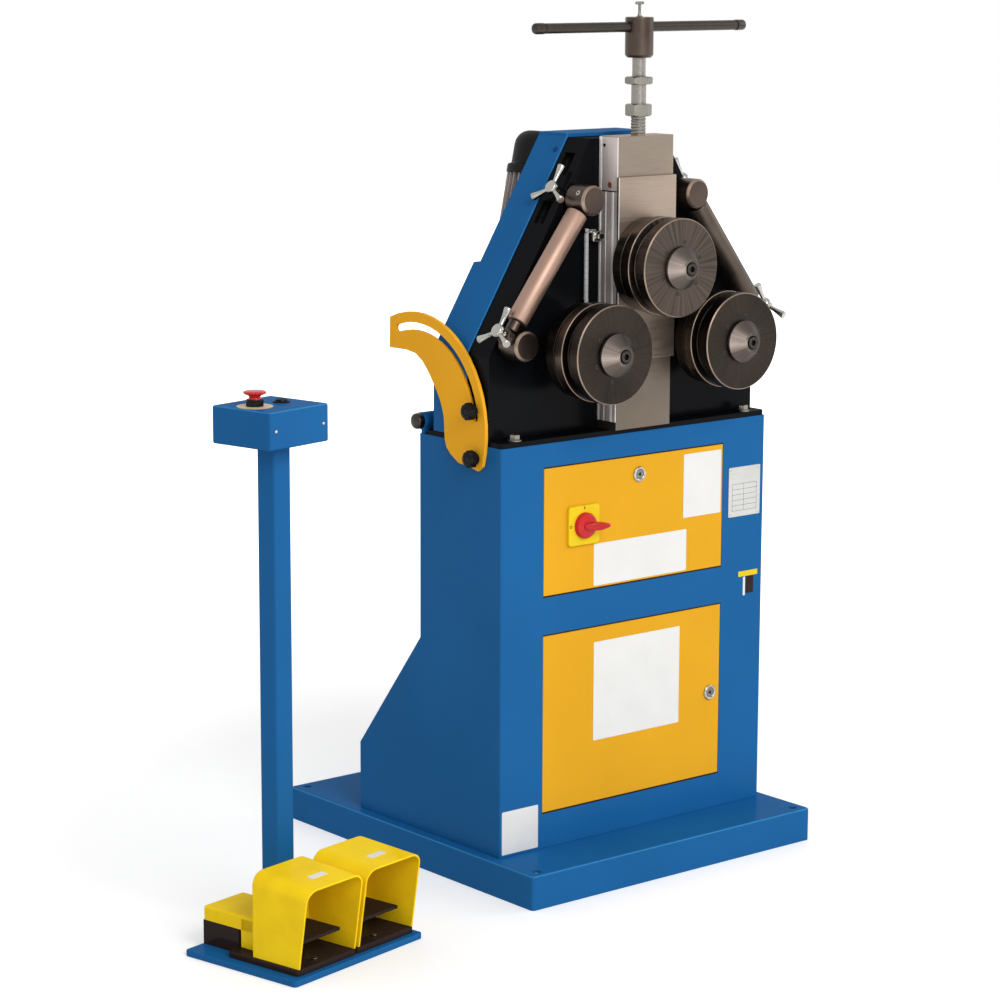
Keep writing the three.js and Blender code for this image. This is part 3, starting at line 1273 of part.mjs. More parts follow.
// Pedestal with the control box and two hooded foot pedals
const pedestal = groupAt(machine, PEDESTAL_X, PEDESTAL_Y, 0);
pedestal.rotation.z = THREE.MathUtils.degToRad(PEDESTAL_TURN);
const boxFoot = BOX_TOP - BOX_HEIGHT;

function pedestalStand() {
  const outline = roundedRectangle(0, FOOT_PLATE_WIDTH, 0, FOOT_PLATE_DEPTH, FOOT_PLATE_CORNER);
  const plate = prism('xy', outline, 0, FOOT_PLATE, 2);
  const half = POST_SIDE / 2;
  const post = block(
    POST_X - half, POST_X + half, POST_Y - half, POST_Y + half, FOOT_PLATE - 1, boxFoot - TOUCH_GAP,
  );
  const bore = half - POST_WALL;
  const hollow = block(
    POST_X - bore, POST_X + bore, POST_Y - bore, POST_Y + bore, FOOT_PLATE, boxFoot + 1,
  );
  return cut(join(plate, post), hollow);
}

piece(pedestal, 'pedestal_stand', pedestalStand(), bluePaint);

function controlBox() {
  const [x0, x1] = [POST_X - 6 - BOX_WIDTH / 2, POST_X - 6 + BOX_WIDTH / 2];
  const [y0, y1] = [POST_Y - BOX_DEPTH / 2, POST_Y + BOX_DEPTH / 2];
  const outside = prism('xy', roundedRectangle(x0, x1, y0, y1, 3), boxFoot, BOX_TOP, 2);
  const inside = block(
    x0 + BOX_WALL, x1 - BOX_WALL, y0 + BOX_WALL, y1 - BOX_WALL, boxFoot + BOX_WALL, BOX_TOP - BOX_WALL,
  );
  const bore = POST_SIDE / 2 - POST_WALL;
  const cableWay = block(
    POST_X - bore, POST_X + bore, POST_Y - bore, POST_Y + bore, boxFoot - 1, boxFoot + BOX_WALL + 1,
  );
  const [wallFoot, collarTop] = [BOX_TOP - BOX_WALL - 1, BOX_TOP + STOP_COLLAR_HEIGHT];
  const rimTop = BOX_TOP + START_RING_HEIGHT;
  const collar = rod('z', STOP_COLLAR, BOX_TOP - 1, collarTop).translate(STOP_X, BUTTON_Y, 0);
  const rim = rod('z', START_RING, BOX_TOP - 1, rimTop).translate(START_X, BUTTON_Y, 0);
  const stopBore = hole('z', STOP_STEM + RUNNING_GAP, wallFoot, collarTop + 1);
  const startBore = hole('z', START_CAP + RUNNING_GAP, wallFoot, rimTop + 1);
  return cut(
    join(outside, collar, rim), inside, cableWay,
    stopBore.translate(STOP_X, BUTTON_Y, 0), startBore.translate(START_X, BUTTON_Y, 0),
  );
}

piece(pedestal, 'control_box', controlBox(), bluePaint);

const stopBase = BOX_TOP + STOP_COLLAR_HEIGHT + STOP_TRAVEL;
const stopTop = stopBase + STOP_HEAD_HEIGHT;
const emergencyButton = turned('z', [
  [0, BOX_TOP - BUTTON_DEPTH], [STOP_STEM, BOX_TOP - BUTTON_DEPTH], [STOP_STEM, stopBase],
  [STOP_HEAD - 1, stopTop - 4.5], [STOP_HEAD, stopTop - 3], [STOP_HEAD - 1.5, stopTop - 1], [0, stopTop],
], 16);
piece(pedestal, 'emergency_button', emergencyButton, redPlastic).position.set(STOP_X, BUTTON_Y, 0);

const startTop = BOX_TOP + START_RING_HEIGHT + START_PROUD;
const startButton = turned('z', [
  [0, BOX_TOP - BUTTON_DEPTH], [BUTTON_STEM, BOX_TOP - BUTTON_DEPTH], [BUTTON_STEM, BOX_TOP - 6],
  [START_CAP, BOX_TOP - 5], [START_CAP, startTop - 1], [START_CAP - 1, startTop], [0, startTop],
], 14);
piece(pedestal, 'start_button', startButton, blackPlastic).position.set(START_X, BUTTON_Y, 0);

const slabFoot = FOOT_PLATE + TOUCH_GAP;
const slabTop = slabFoot + PEDAL_SLAB;

function pedalBase() {
  const half = PEDAL_BASE_WIDTH / 2;
  const bodyHalf = PEDAL_BODY_WIDTH / 2;
  const slab = prism(
    'xy', roundedRectangle(-half, half, PEDAL_BASE_FRONT, PEDAL_SLAB_BACK, 5), slabFoot, slabTop, 2,
  );
  const body = block(-bodyHalf, bodyHalf, PEDAL_SLAB_BACK - 2, PEDAL_BODY_BACK, slabFoot, PEDAL_BODY_TOP);
  const wall = PEDAL_BODY_WALL;
  const well = block(
    wall - bodyHalf, bodyHalf - wall, PEDAL_SLAB_BACK + 1, PEDAL_BODY_BACK - wall,
    slabFoot + wall, PEDAL_BODY_TOP + 1,
  );
  const armSlot = block(
    -PEDAL_ARM - 3, PEDAL_ARM + 3, PEDAL_SLAB_BACK - 3, PEDAL_SLAB_BACK + 2,
    PEDAL_PIVOT_Z - 12, PEDAL_BODY_TOP + 1,
  );
  const earHalf = PEDAL_WIDTH / 2 - PEDAL_EAR_INSET;
  let base = cut(join(slab, body), well, armSlot);
  for (const side of [-1, 1]) {
    const x = side * (earHalf + 0.5);
    const ear = block(
      x - PEDAL_EAR / 2, x + PEDAL_EAR / 2,
      PEDAL_PIVOT_Y - PEDAL_EAR_RADIUS, PEDAL_PIVOT_Y + PEDAL_EAR_RADIUS,
      slabTop - 1, PEDAL_PIVOT_Z + PEDAL_EAR_RADIUS,
    );
    const eye = hole('x', PEDAL_PIN + RUNNING_GAP, x - PEDAL_EAR, x + PEDAL_EAR, 16);
    base = cut(join(base, ear), eye.translate(0, PEDAL_PIVOT_Y, PEDAL_PIVOT_Z));
  }
  return base;
}

function hoodArch(inset, top) {
  const half = HOOD_WIDTH / 2 - inset;
  const corner = HOOD_CORNER - inset;
  const foot = inset > 0 ? slabTop - 1 : slabTop + TOUCH_GAP;
  const shape = new THREE.Shape();
  shape.moveTo(-half, foot);
  shape.lineTo(half, foot);
  shape.lineTo(half, top - inset - corner);
  shape.absarc(half - corner, top - inset - corner, corner, 0, Math.PI / 2);
  shape.lineTo(corner - half, top - inset);
  shape.absarc(corner - half, top - inset - corner, corner, Math.PI / 2, Math.PI);
  return shape;
}

function pedalHood() {
  const top = slabTop + HOOD_HEIGHT + HOOD_RISE;
  const brow = HOOD_FRONT - HOOD_LEAN;
  const arch = prism('xz', hoodArch(0, top), brow, HOOD_BACK, 5);
  const capHalf = PEDAL_BODY_WIDTH / 2;
  const cap = block(
    -capHalf, capHalf, HOOD_BACK - 2, PEDAL_BODY_BACK, PEDAL_BODY_TOP + TOUCH_GAP, HOOD_CAP_TOP,
  );
  const skirt = block(
    -capHalf, capHalf, HOOD_BACK - 2, PEDAL_SLAB_BACK - 2 - TOUCH_GAP, slabTop + TOUCH_GAP, HOOD_CAP_TOP,
  );
  const capHollow = block(
    HOOD_WALL - capHalf, capHalf - HOOD_WALL, HOOD_BACK - HOOD_WALL - 1, PEDAL_BODY_BACK - HOOD_WALL,
    slabTop - 1, HOOD_CAP_TOP - HOOD_WALL,
  );
  const inside = prism('xz', hoodArch(HOOD_WALL, top), brow - 1, HOOD_BACK - HOOD_WALL, 5);
  const above = top + 1;
  const slope = shapeOf([
    [brow - 1, top - HOOD_RISE], [HOOD_BACK + 1, top], [HOOD_BACK + 1, above], [brow - 1, above],
  ]);
  const mouth = shapeOf([[brow - 1, slabTop], [HOOD_FRONT, slabTop], [brow, above], [brow - 1, above]]);
  const slices = [slope, mouth].map((shape) => prism('yz', shape, -HOOD_WIDTH, HOOD_WIDTH));
  return cut(join(arch, cap, skirt), inside, capHollow, ...slices);
}

function pedalPlate() {
  const half = PEDAL_WIDTH / 2;
  const earInner = half - PEDAL_EAR_INSET - 2.5 - 2 * RUNNING_GAP;
  const plate = block(
    -PEDAL_TREAD, PEDAL_TREAD, PEDAL_FRONT - PEDAL_PIVOT_Y, 8, PEDAL_PIN - 1, PEDAL_PIN - 1 + PEDAL_SHEET,
  );
  const barrel = rod('x', PEDAL_PIN + 3, -earInner, earInner, 16);
  const pin = rod('x', PEDAL_PIN, -half + 4, half - 4, 16);
  const arm = block(-PEDAL_ARM, PEDAL_ARM, -2, 62, -4, 2);
  const earSlot = PEDAL_WIDTH / 2 - PEDAL_EAR_INSET;
  const left = block(-PEDAL_TREAD - 1, -earSlot + 3.5, -9, 12, -1, 16);
  const right = block(earSlot - 3.5, PEDAL_TREAD + 1, -9, 12, -1, 16);
  return join(cut(plate, left, right), barrel, pin, arm);
}

for (const [index, prefix] of ['left', 'right'].entries()) {
  const place = groupAt(pedestal, PEDAL_CENTRES[index], 0, 0);
  piece(place, prefix + '_pedal_base', pedalBase(), blackPlastic);
  piece(place, prefix + '_pedal_hood', pedalHood(), yellowPlastic);
  const pedal = piece(place, prefix + '_pedal', pedalPlate(), darkSteel);
  pedal.position.set(0, PEDAL_PIVOT_Y, PEDAL_PIVOT_Z);
}

machine.updateMatrixWorld(true);

export default machine;
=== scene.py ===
# %% [markdown]
# # Dressing a ring roller
#
# A ring roller bends bars and tubes into rings between three rolls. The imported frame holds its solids
# at their real size, in metres, with +Z up. This lesson keeps their places, gives each one its finish,
# and models the round, rounded and small pieces again with the smoothness that a solid model leaves out.

# %% Load the frame
from math import atan2, ceil, cos, pi, radians, sin

import bmesh
import bpy
from mathutils import Matrix, Vector


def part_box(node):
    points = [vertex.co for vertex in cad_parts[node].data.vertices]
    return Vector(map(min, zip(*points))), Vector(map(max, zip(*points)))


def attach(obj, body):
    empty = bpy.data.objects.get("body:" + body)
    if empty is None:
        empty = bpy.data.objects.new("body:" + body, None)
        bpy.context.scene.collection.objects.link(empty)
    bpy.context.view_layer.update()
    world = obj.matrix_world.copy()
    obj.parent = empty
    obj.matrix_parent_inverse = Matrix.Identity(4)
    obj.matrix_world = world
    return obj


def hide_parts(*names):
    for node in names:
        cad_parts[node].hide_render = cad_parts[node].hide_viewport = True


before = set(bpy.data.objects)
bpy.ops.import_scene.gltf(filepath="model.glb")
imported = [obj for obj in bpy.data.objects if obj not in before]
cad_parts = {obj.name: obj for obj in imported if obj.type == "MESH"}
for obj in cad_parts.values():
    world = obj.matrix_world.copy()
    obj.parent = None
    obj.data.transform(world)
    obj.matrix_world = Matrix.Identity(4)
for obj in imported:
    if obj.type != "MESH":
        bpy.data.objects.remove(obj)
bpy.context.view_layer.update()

print("nodes in the frame:", len(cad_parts))

# %% [markdown]
# ## Units and axes
#
# Workshop drawings are in millimetres, so every size below is too, and the helpers turn it into metres.
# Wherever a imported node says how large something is, the size is read from that node.

# %% Millimetres, axes and node sizes
MM = 0.001
X, Y, Z = Vector((1, 0, 0)), Vector((0, 1, 0)), Vector((0, 0, 1))
FRONT = -Y


def span(node):
    """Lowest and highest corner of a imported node, in millimetres."""
    low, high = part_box(node)
    return low / MM, high / MM


def middle(node):
    low, high = span(node)
    return (low + high) / 2


print("base tray from", *[tuple(round(value, 1) for value in corner) for corner in span("base_plate")])

# %% [markdown]
# ## Finishes
#
# A finish starts as one principled shader whose plain numbers sit on its own sockets. Noise on object
# coordinates then adds what makes a surface believable: unevenness of colour, of gloss and of height.
# Object coordinates are metres on the piece itself, so the grain travels with it when the machine moves.

# %% Building blocks for finishes
def new_finish(name, slot, colour, roughness, metallic=0.0, coat=0.0, shine=0.5):
    material = bpy.data.materials.new(name)
    material.use_nodes = True
    material["slot"], material["colour"] = slot or name, colour
    values = {
        "Base Color": (*colour, 1), "Roughness": roughness, "Metallic": metallic, "Coat Weight": coat,
        "Specular IOR Level": shine,
    }
    for socket, value in values.items():
        fill(material, shader_of(material).inputs[socket], value)
    return material


def shader_of(material):
    return material.node_tree.nodes["Principled BSDF"]


def fill(material, socket, value):
    """Links an output to an input, or writes a plain value on it."""
    if isinstance(value, bpy.types.NodeSocket):
        material.node_tree.links.new(value, socket)
    else:
        socket.default_value = value


def add_node(material, kind, inputs, **settings):
    """A shader node whose inputs, by name or number, take values or the outputs of other nodes."""
    node = material.node_tree.nodes.new("ShaderNode" + kind)
    for name, value in settings.items():
        setattr(node, name, value)
    for name, value in inputs.items():
        fill(material, node.inputs[name], value)
    return node


def coordinates(material, stretch=(1, 1, 1), centre=(0, 0, 0)):
    """Object coordinates, moved to a centre in millimetres and stretched along the axes."""
    source = add_node(material, "TexCoord", {})
    location = [-place * MM * size for place, size in zip(centre, stretch)]
    inputs = {"Location": location, "Scale": stretch, "Vector": source.outputs["Object"]}
    return add_node(material, "Mapping", inputs).outputs["Vector"]


def noise(material, scale, detail=3.0, stretch=(1, 1, 1), centre=(0, 0, 0)):
    inputs = {"Scale": scale, "Detail": detail, "Vector": coordinates(material, stretch, centre)}
    return add_node(material, "TexNoise", inputs).outputs["Fac"]


def ramp(material, mask, low, high, start=0.0, end=1.0):
    """Maps a mask between two limits onto two numbers."""
    inputs = {"From Min": start, "From Max": end, "To Min": low, "To Max": high, "Value": mask}
    return add_node(material, "MapRange", inputs).outputs["Result"]


def vary_colour(material, mask, dark, light, start=0.3, end=0.7):
    """Blends from a darker to a lighter tone of the finish's colour."""
    tones = [(*[min(1, value * tone) for value in material["colour"]], 1) for tone in (dark, light)]
    inputs = {6: tones[0], 7: tones[1], "Factor": ramp(material, mask, 0, 1, start, end)}
    blend = add_node(material, "Mix", inputs, data_type="RGBA")
    fill(material, shader_of(material).inputs["Base Color"], blend.outputs[2])


def vary_gloss(material, mask, low, high):
    fill(material, shader_of(material).inputs["Roughness"], ramp(material, mask, low, high, 0.3, 0.7))


def raise_surface(material, mask, height, strength):
    """Adds a relief to the finish. The height is in millimetres."""
    relief = add_node(material, "Bump", {"Strength": strength, "Distance": height * MM, "Height": mask})
    fill(material, shader_of(material).inputs["Normal"], relief.outputs["Normal"])


# %% [markdown]
# Machine enamel is sprayed: it has a fine orange-peel skin, a slow drift in tone, and a little dust.
# The same recipe gives blue, black and the yellow of the panels, with other colours and gloss.

# %% Sprayed paints
PEEL = 0.012


def sprayed_paint(name, colour, roughness, slot=None):
    paint = new_finish(name, slot, colour, roughness, coat=0.10, shine=0.0)
    fill(paint, shader_of(paint).inputs["Coat Roughness"], 0.22)
    vary_colour(paint, noise(paint, 3.5, detail=5), 0.93, 1.06)
    vary_gloss(paint, noise(paint, 22, detail=6), roughness - 0.05, roughness + 0.08)
    raise_surface(paint, noise(paint, 260, detail=2), PEEL, 0.5)
    return paint


blue_paint = sprayed_paint("blue_paint", (0.011, 0.115, 0.318), 0.36)
# A lighter copy of the blue paint: painted highlight on rounded edges.
blue_edge_highlight = sprayed_paint("blue_edge_highlight", (0.030, 0.195, 0.440), 0.30, "blue_paint")
# A darker blue for the screws on the cover's slopes.
darker_blue = sprayed_paint("darker_blue", (0.006, 0.045, 0.190), 0.30, "blue_paint")
yellow_paint = sprayed_paint("yellow_paint", (0.75, 0.375, 0.017), 0.40)
quadrant_paint = sprayed_paint("quadrant_paint", (0.90, 0.425, 0.020), 0.40, "yellow_paint")
black_paint = sprayed_paint("black_paint", (0.0040, 0.0044, 0.0056), 0.40)
# A lighter copy of the black paint: painted highlight on rounded edges.
black_edge_highlight = sprayed_paint("black_edge_highlight", (0.050, 0.046, 0.042), 0.36, "black_paint")

# %% [markdown]
# Ground and milled steel carries the tool's straight marks. A noise that is stretched forty times along
# one direction draws them, in the tone, in the gloss and as a faint relief.

# %% Machined and turned steels
def mixed(material, first, share, second):
    """The first mask times a share, plus the second."""
    return add_node(material, "Math", {0: first, 1: share, 2: second}, operation="MULTIPLY_ADD").outputs[0]


def machined(name, colour, roughness, stretch, depth=0.006, slot="machined_steel", metallic=1.0):
    steel = new_finish(name, slot, colour, roughness, metallic)
    marks = noise(steel, 60, detail=4, stretch=stretch)
    both = mixed(steel, marks, 0.5, ramp(steel, noise(steel, 9, detail=4), 0, 0.5))
    vary_colour(steel, both, 0.80, 1.16)
    vary_gloss(steel, marks, roughness - 0.07, roughness + 0.09)
    raise_surface(steel, marks, depth, 0.6)
    return steel


ALONG_Z, ALONG_X, ALL_WAYS = (14, 14, 0.35), (0.35, 14, 14), (4, 4, 4)
column_steel = machined("column_steel", (0.255, 0.208, 0.166), 0.44, ALONG_X)
ram_steel = machined("ram_steel", (0.330, 0.262, 0.210), 0.42, ALONG_X)
# The next three are lighter, less metallic copies of the column's steel: a painted reflection on its flanks
# and cover plates, and painted highlights on strips and edges.
lit_side_steel = machined("lit_side_steel", (0.58, 0.51, 0.49), 0.42, ALONG_Z, metallic=0.35)
lit_cap_steel = machined("lit_cap_steel", (0.66, 0.57, 0.54), 0.44, ALONG_Z, metallic=0.15)
highlight_steel = machined("highlight_steel", (0.96, 0.89, 0.85), 0.36, ALONG_Z, metallic=0.15)
plain_steel = machined("plain_steel", (0.25, 0.235, 0.21), 0.36, ALL_WAYS, 0.002)
oiled_steel = machined("oiled_steel", (0.050, 0.043, 0.037), 0.34, ALL_WAYS, 0.003, "dark_steel")
hidden_steel = machined("hidden_steel", (0.20, 0.19, 0.18), 0.40, ALL_WAYS, 0.003, "dark_steel")
nameplate = machined("nameplate_aluminium", (0.50, 0.50, 0.48), 0.42, ALONG_X, 0.002)


# %% Painted light: tone that changes along a piece or round its axis
def painted_light_tone(material, mask, tone):
    """Multiplies the finish by a tone where a mask is one, and leaves it where the mask is zero: painted
    shade and highlights.
    """
    colour = shader_of(material).inputs["Base Color"]
    inputs = {6: colour.links[0].from_socket, 7: (tone, tone, tone, 1), "Factor": mask}
    blend = add_node(material, "Mix", inputs, data_type="RGBA", blend_type="MULTIPLY")
    fill(material, colour, blend.outputs[2])


def along(material, axis, start, end):
    """A mask that rises from zero to one between two places on an object axis, in millimetres."""
    split = add_node(material, "SeparateXYZ", {0: coordinates(material)})
    return ramp(material, split.outputs[axis], 0, 1, start * MM, end * MM)


# Painted shade: the column and the ram grow darker towards the bottom, below the ram and between the rolls.
painted_light_tone(column_steel, along(column_steel, "Z", 1060, 820), 0.60)
painted_light_tone(ram_steel, along(ram_steel, "Z", 1080, 860), 0.72)


# %% Steel turned on a lathe, with rings round the piece's own axis
WAVES = 6.3


def lathe_turned(name, slot, colour, roughness, centre, pitch=1.1, fan=0.4, glints=()):
    """Fine rings round an axis along Y, and a fan of faint rays painted into the colour as the sheen of a
    turned face. Each glint darkens the colour outside a wedge round the axis: a painted highlight with
    painted shade round it.
    """
    steel = new_finish(name, slot, colour, roughness, metallic=1.0)
    flat = (1, 0, 1)
    inputs = {
        "Scale": 1 / (pitch * MM * WAVES), "Distortion": 1.5, "Detail Scale": 2.0,
        "Vector": coordinates(steel, flat, centre),
    }
    rings = add_node(steel, "TexWave", inputs, wave_type="RINGS", rings_direction="SPHERICAL")
    inputs = {"Rotation": (radians(90), 0, 0), "Vector": coordinates(steel, flat, centre)}
    upright = add_node(steel, "Mapping", inputs, vector_type="POINT")
    around = add_node(steel, "TexGradient", {"Vector": upright.outputs["Vector"]}, gradient_type="RADIAL")
    # Painted sheen: lighter and darker rays round the axis.
    inputs = {"Scale": 70, "Detail": 2, "W": around.outputs["Fac"]}
    rays = add_node(steel, "TexNoise", inputs, noise_dimensions="1D")
    both = mixed(steel, rays.outputs["Fac"], fan, ramp(steel, noise(steel, 14, detail=4), 0, 1 - fan))
    vary_colour(steel, both, 0.70, 1.36)
    vary_gloss(steel, both, roughness - 0.04, roughness + 0.08)
    raise_surface(steel, rings.outputs["Fac"], 0.02, 0.35)
    turn = add_node(steel, "Math", {0: around.outputs["Fac"], 1: 2 * pi}, operation="MULTIPLY")
    swing = add_node(steel, "Math", {0: turn.outputs[0]}, operation="COSINE")
    for tone, start, end in glints:
        painted_light_tone(steel, ramp(steel, swing.outputs[0], 0, 1, start, end), tone)
    return steel


# %% [markdown]
# Small metal fittings are plated or cast, and the rest is moulded plastic. Plating is nearly a mirror
# with a little dust, castings are rough, and plastics have a fine spark-eroded grain.

# %% Plated, cast and moulded finishes
def plain_finish(name, colour, roughness, metallic, grain, height, slot=None, drift=0.08, coat=0, shine=0.5):
    finish = new_finish(name, slot, colour, roughness, metallic, coat, shine)
    cloud = noise(finish, 18, detail=5)
    vary_colour(finish, cloud, 1 - drift, 1 + drift)
    vary_gloss(finish, cloud, max(0.04, roughness - 0.05), roughness + 0.07)
    raise_surface(finish, noise(finish, grain, detail=3), height, 0.5)
    return finish


def plastic(name, colour, roughness, grain, height, coat, slot=None, shine=0.0):
    return plain_finish(name, colour, roughness, 0, grain, height, slot, coat=coat, shine=shine)


def metal(name, colour, roughness, metallic=1.0, grain=300, height=0.003, slot="machined_steel", drift=0.08):
    return plain_finish(name, colour, roughness, metallic, grain, height, slot, drift)


chrome = metal("bright_chrome", (0.40, 0.39, 0.36), 0.16, 1, 90, 0.01, "chrome")
dull_chrome = metal("dull_chrome", (0.17, 0.16, 0.15), 0.26, 1, 90, 0.01, "chrome")
bronze = metal("turned_bronze", (0.46, 0.25, 0.09), 0.34, 1, 300, 0.004, "bronze")
copper = metal("copper_plug", (0.36, 0.15, 0.085), 0.36, 0.6, 300, 0.004, "bronze")
casting = metal("grey_casting", (0.36, 0.30, 0.275), 0.50, 0.2, 170, 0.12, "grey_casting", 0.15)
nut_steel = metal("ground_nut_steel", (0.215, 0.20, 0.175), 0.26, 1, 240, 0.004)
roller_steel = metal("roller_steel", (0.36, 0.235, 0.18), 0.46, 0.85)
# A darker copy of the roller steel: painted shade.
shaded_roller_steel = metal("shaded_roller_steel", (0.085, 0.066, 0.052), 0.42, 0.9, drift=0.20)
# A lighter steel for chamfers that catch the light: painted highlight.
highlight_edge_steel = metal("painted_highlight_edge_steel", (0.27, 0.20, 0.155), 0.34)
# A lighter, glossier steel for the second rim of the rolls: painted highlight.
rim_highlight_steel = metal("rim_highlight_steel", (0.105, 0.082, 0.066), 0.28)
head_steel = metal("guide_head_steel", (0.075, 0.056, 0.046), 0.34, 1, 260, slot="dark_steel", drift=0.18)
black_plastic = plastic("black_plastic", (0.008, 0.008, 0.009), 0.46, 700, 0.01, 0.2)
slab_plastic = plastic("slab_plastic", (0.026, 0.016, 0.014), 0.50, 600, 0.01, 0.15, "black_plastic")
red_plastic = plastic("red_plastic", (0.56, 0.018, 0.020), 0.26, 500, 0.004, 0.25, shine=0.1)
yellow_plastic = plastic("yellow_plastic", (0.96, 0.640, 0.010), 0.38, 420, 0.008, 0.12)
switch_plastic = plastic("switch_yellow", (0.80, 0.58, 0.014), 0.34, 420, 0.006, 0.12, "yellow_plastic")
legend_plastic = plastic("legend_plastic", (0.60, 0.47, 0.30), 0.50, 600, 0.005, 0, "grey_plastic", 0.5)
grey_plastic = plastic("grey_plastic", (0.34, 0.35, 0.36), 0.55, 600, 0.01, 0, shine=0.5)
rod_enamel = plastic("rod_enamel", (0.42, 0.42, 0.42), 0.36, 400, 0.004, 0, "white_plastic", 0.5)
rod_mark = plastic("rod_mark", (0.20, 0.20, 0.20), 0.45, 400, 0.004, 0, "grey_plastic", 0.5)
paper = plain_finish("label_paper", (0.74, 0.735, 0.715), 0.42, 0, 300, 0.003, "white_plastic", 0.03)
print("finishes:", len(bpy.data.materials))

# %% [markdown]
# ## Modelling helpers
#
# Most pieces of a machine are turned, folded or sawn. A turned piece is half of its outline, spun round
# an axis; a folded or sawn one is a block or a cut-out sheet with softened edges.

# %% Helpers that shape a bmesh
def place(bm, matrix):
    bmesh.ops.transform(bm, matrix=matrix, verts=bm.verts[:])
    return bm


def face_out(bm):
    bmesh.ops.recalc_face_normals(bm, faces=bm.faces[:])


def moved(x, y, z):
    """The matrix that moves by a distance in millimetres."""
    return Matrix.Translation(Vector((x, y, z)) * MM)


def rotated(degrees, axis="Z"):
    return Matrix.Rotation(radians(degrees), 4, axis)


def standing(axis, at):
    """The matrix that turns +Z towards an axis and moves the origin to a point in millimetres."""
    return moved(*at) @ Vector(axis).to_track_quat("Z", "Y").to_matrix().to_4x4()


def turned(profile, axis=Z, at=(0, 0, 0), steps=64):
    """Spins an outline of (radius, height) pairs round an axis."""
    bm = bmesh.new()
    points = [bm.verts.new((radius * MM, 0, height * MM)) for radius, height in profile]
    chain = [bm.edges.new(pair) for pair in zip(points, points[1:])]
    bmesh.ops.spin(
        bm, geom=points + chain, angle=2 * pi, steps=steps, axis=Z, cent=(0, 0, 0), use_merge=True
    )
    bmesh.ops.remove_doubles(bm, verts=bm.verts[:], dist=0.002 * MM)
    face_out(bm)
    return place(bm, standing(axis, at))


def mirrored(half):
    """A whole outline from the half above zero."""
    return [(radius, -height) for radius, height in reversed(half)] + half


def cylinder(radius, start, end, axis=Z, at=(0, 0, 0), chamfer=0.6, steps=48):
    edge = min(chamfer, radius * 0.5)
    return turned([
        (0, start), (radius - edge, start), (radius, start + edge),
        (radius, end - edge), (radius - edge, end), (0, end),
    ], axis, at, steps)


def bevel(bm, edges, width, segments):
    bmesh.ops.bevel(
        bm, geom=edges, offset=width * MM, offset_type="OFFSET", segments=segments,
        profile=0.5, affect="EDGES", clamp_overlap=True, material=-1,
    )
    return bm


def upright_edges(bm):
    return [e for e in bm.edges if abs(e.verts[0].co.z - e.verts[1].co.z) > 10 * MM]


def soften(bm, width, segments=3, angle=28, where=None):
    """Rounds every edge that is sharper than an angle, or those of them that a rule picks."""
    edges = [e for e in bm.edges if len(e.link_faces) == 2 and e.calc_face_angle(0) > radians(angle)]
    if where:
        edges = [e for e in edges if where((e.verts[0].co + e.verts[1].co) / (2 * MM))]
    return bevel(bm, edges, width, segments)


def block(low, high, edge=0.8, segments=2):
    bm = bmesh.new()
    bmesh.ops.create_cube(bm, size=MM)
    low, high = Vector(low), Vector(high)
    bmesh.ops.scale(bm, vec=high - low, verts=bm.verts[:])
    bmesh.ops.translate(bm, vec=(low + high) / 2 * MM, verts=bm.verts[:])
    return soften(bm, edge, segments) if edge else bm


def sheet(outline, thickness):
    """A flat face through a closed list of points, drawn out along a vector."""
    bm = bmesh.new()
    face = bm.faces.new([bm.verts.new(Vector(point) * MM) for point in outline])
    grown = bmesh.ops.extrude_face_region(bm, geom=[face])["geom"]
    corners = [item for item in grown if isinstance(item, bmesh.types.BMVert)]
    bmesh.ops.translate(bm, vec=Vector(thickness) * MM, verts=corners)
    face_out(bm)
    return bm


def rounded(width, height, radius, steps=6):
    """Corner points of a rounded rectangle about the origin, as (u, v) pairs."""
    points = []
    for quarter, (right, up) in enumerate([(1, -1), (1, 1), (-1, 1), (-1, -1)]):
        for step in range(steps + 1):
            turn = radians(90 * (quarter - 1) + 90 * step / steps)
            points.append((
                right * (width / 2 - radius) + radius * cos(turn),
                up * (height / 2 - radius) + radius * sin(turn),
            ))
    return points


def joined(first, *others):
    for other in others:
        scratch = bpy.data.meshes.new("scratch")
        other.to_mesh(scratch)
        other.free()
        first.from_mesh(scratch)
        bpy.data.meshes.remove(scratch)
    return first


def pierce(bm, height, places, radius):
    """Cuts round holes into the flat top face: it is filled again between its rim and the circles."""
    level = lambda z: abs(z / MM - height) < 0.5
    top = [f for f in bm.faces if f.normal.z > 0.99 and level(f.calc_center_median().z)]
    bmesh.ops.delete(bm, geom=top, context="FACES_ONLY")
    rims = [e for e in bm.edges if e.is_boundary and level(e.verts[0].co.z)]
    for x, y in places:
        circle = bmesh.ops.create_circle(bm, segments=48, radius=radius * MM, matrix=moved(x, y, height))
        rims += list({edge for vert in circle["verts"] for edge in vert.link_edges})
    bmesh.ops.triangle_fill(bm, use_beauty=True, edges=rims)
    face_out(bm)
    return bm


def tinted(bm, index):
    """Gives all faces of a bmesh one of the piece's materials."""
    for face in bm.faces:
        face.material_index = index
    return bm


def copy_of(node):
    """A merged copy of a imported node, with its flat triangles joined into whole faces."""
    bm = bmesh.new()
    bm.from_mesh(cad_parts[node].data)
    bmesh.ops.remove_doubles(bm, verts=bm.verts[:], dist=0.02 * MM)
    bmesh.ops.dissolve_limit(bm, angle_limit=radians(0.5), verts=bm.verts[:], edges=bm.edges[:])
    return tinted(bm, 0)


# %% Helper that turns a bmesh into a piece of the machine
made = []


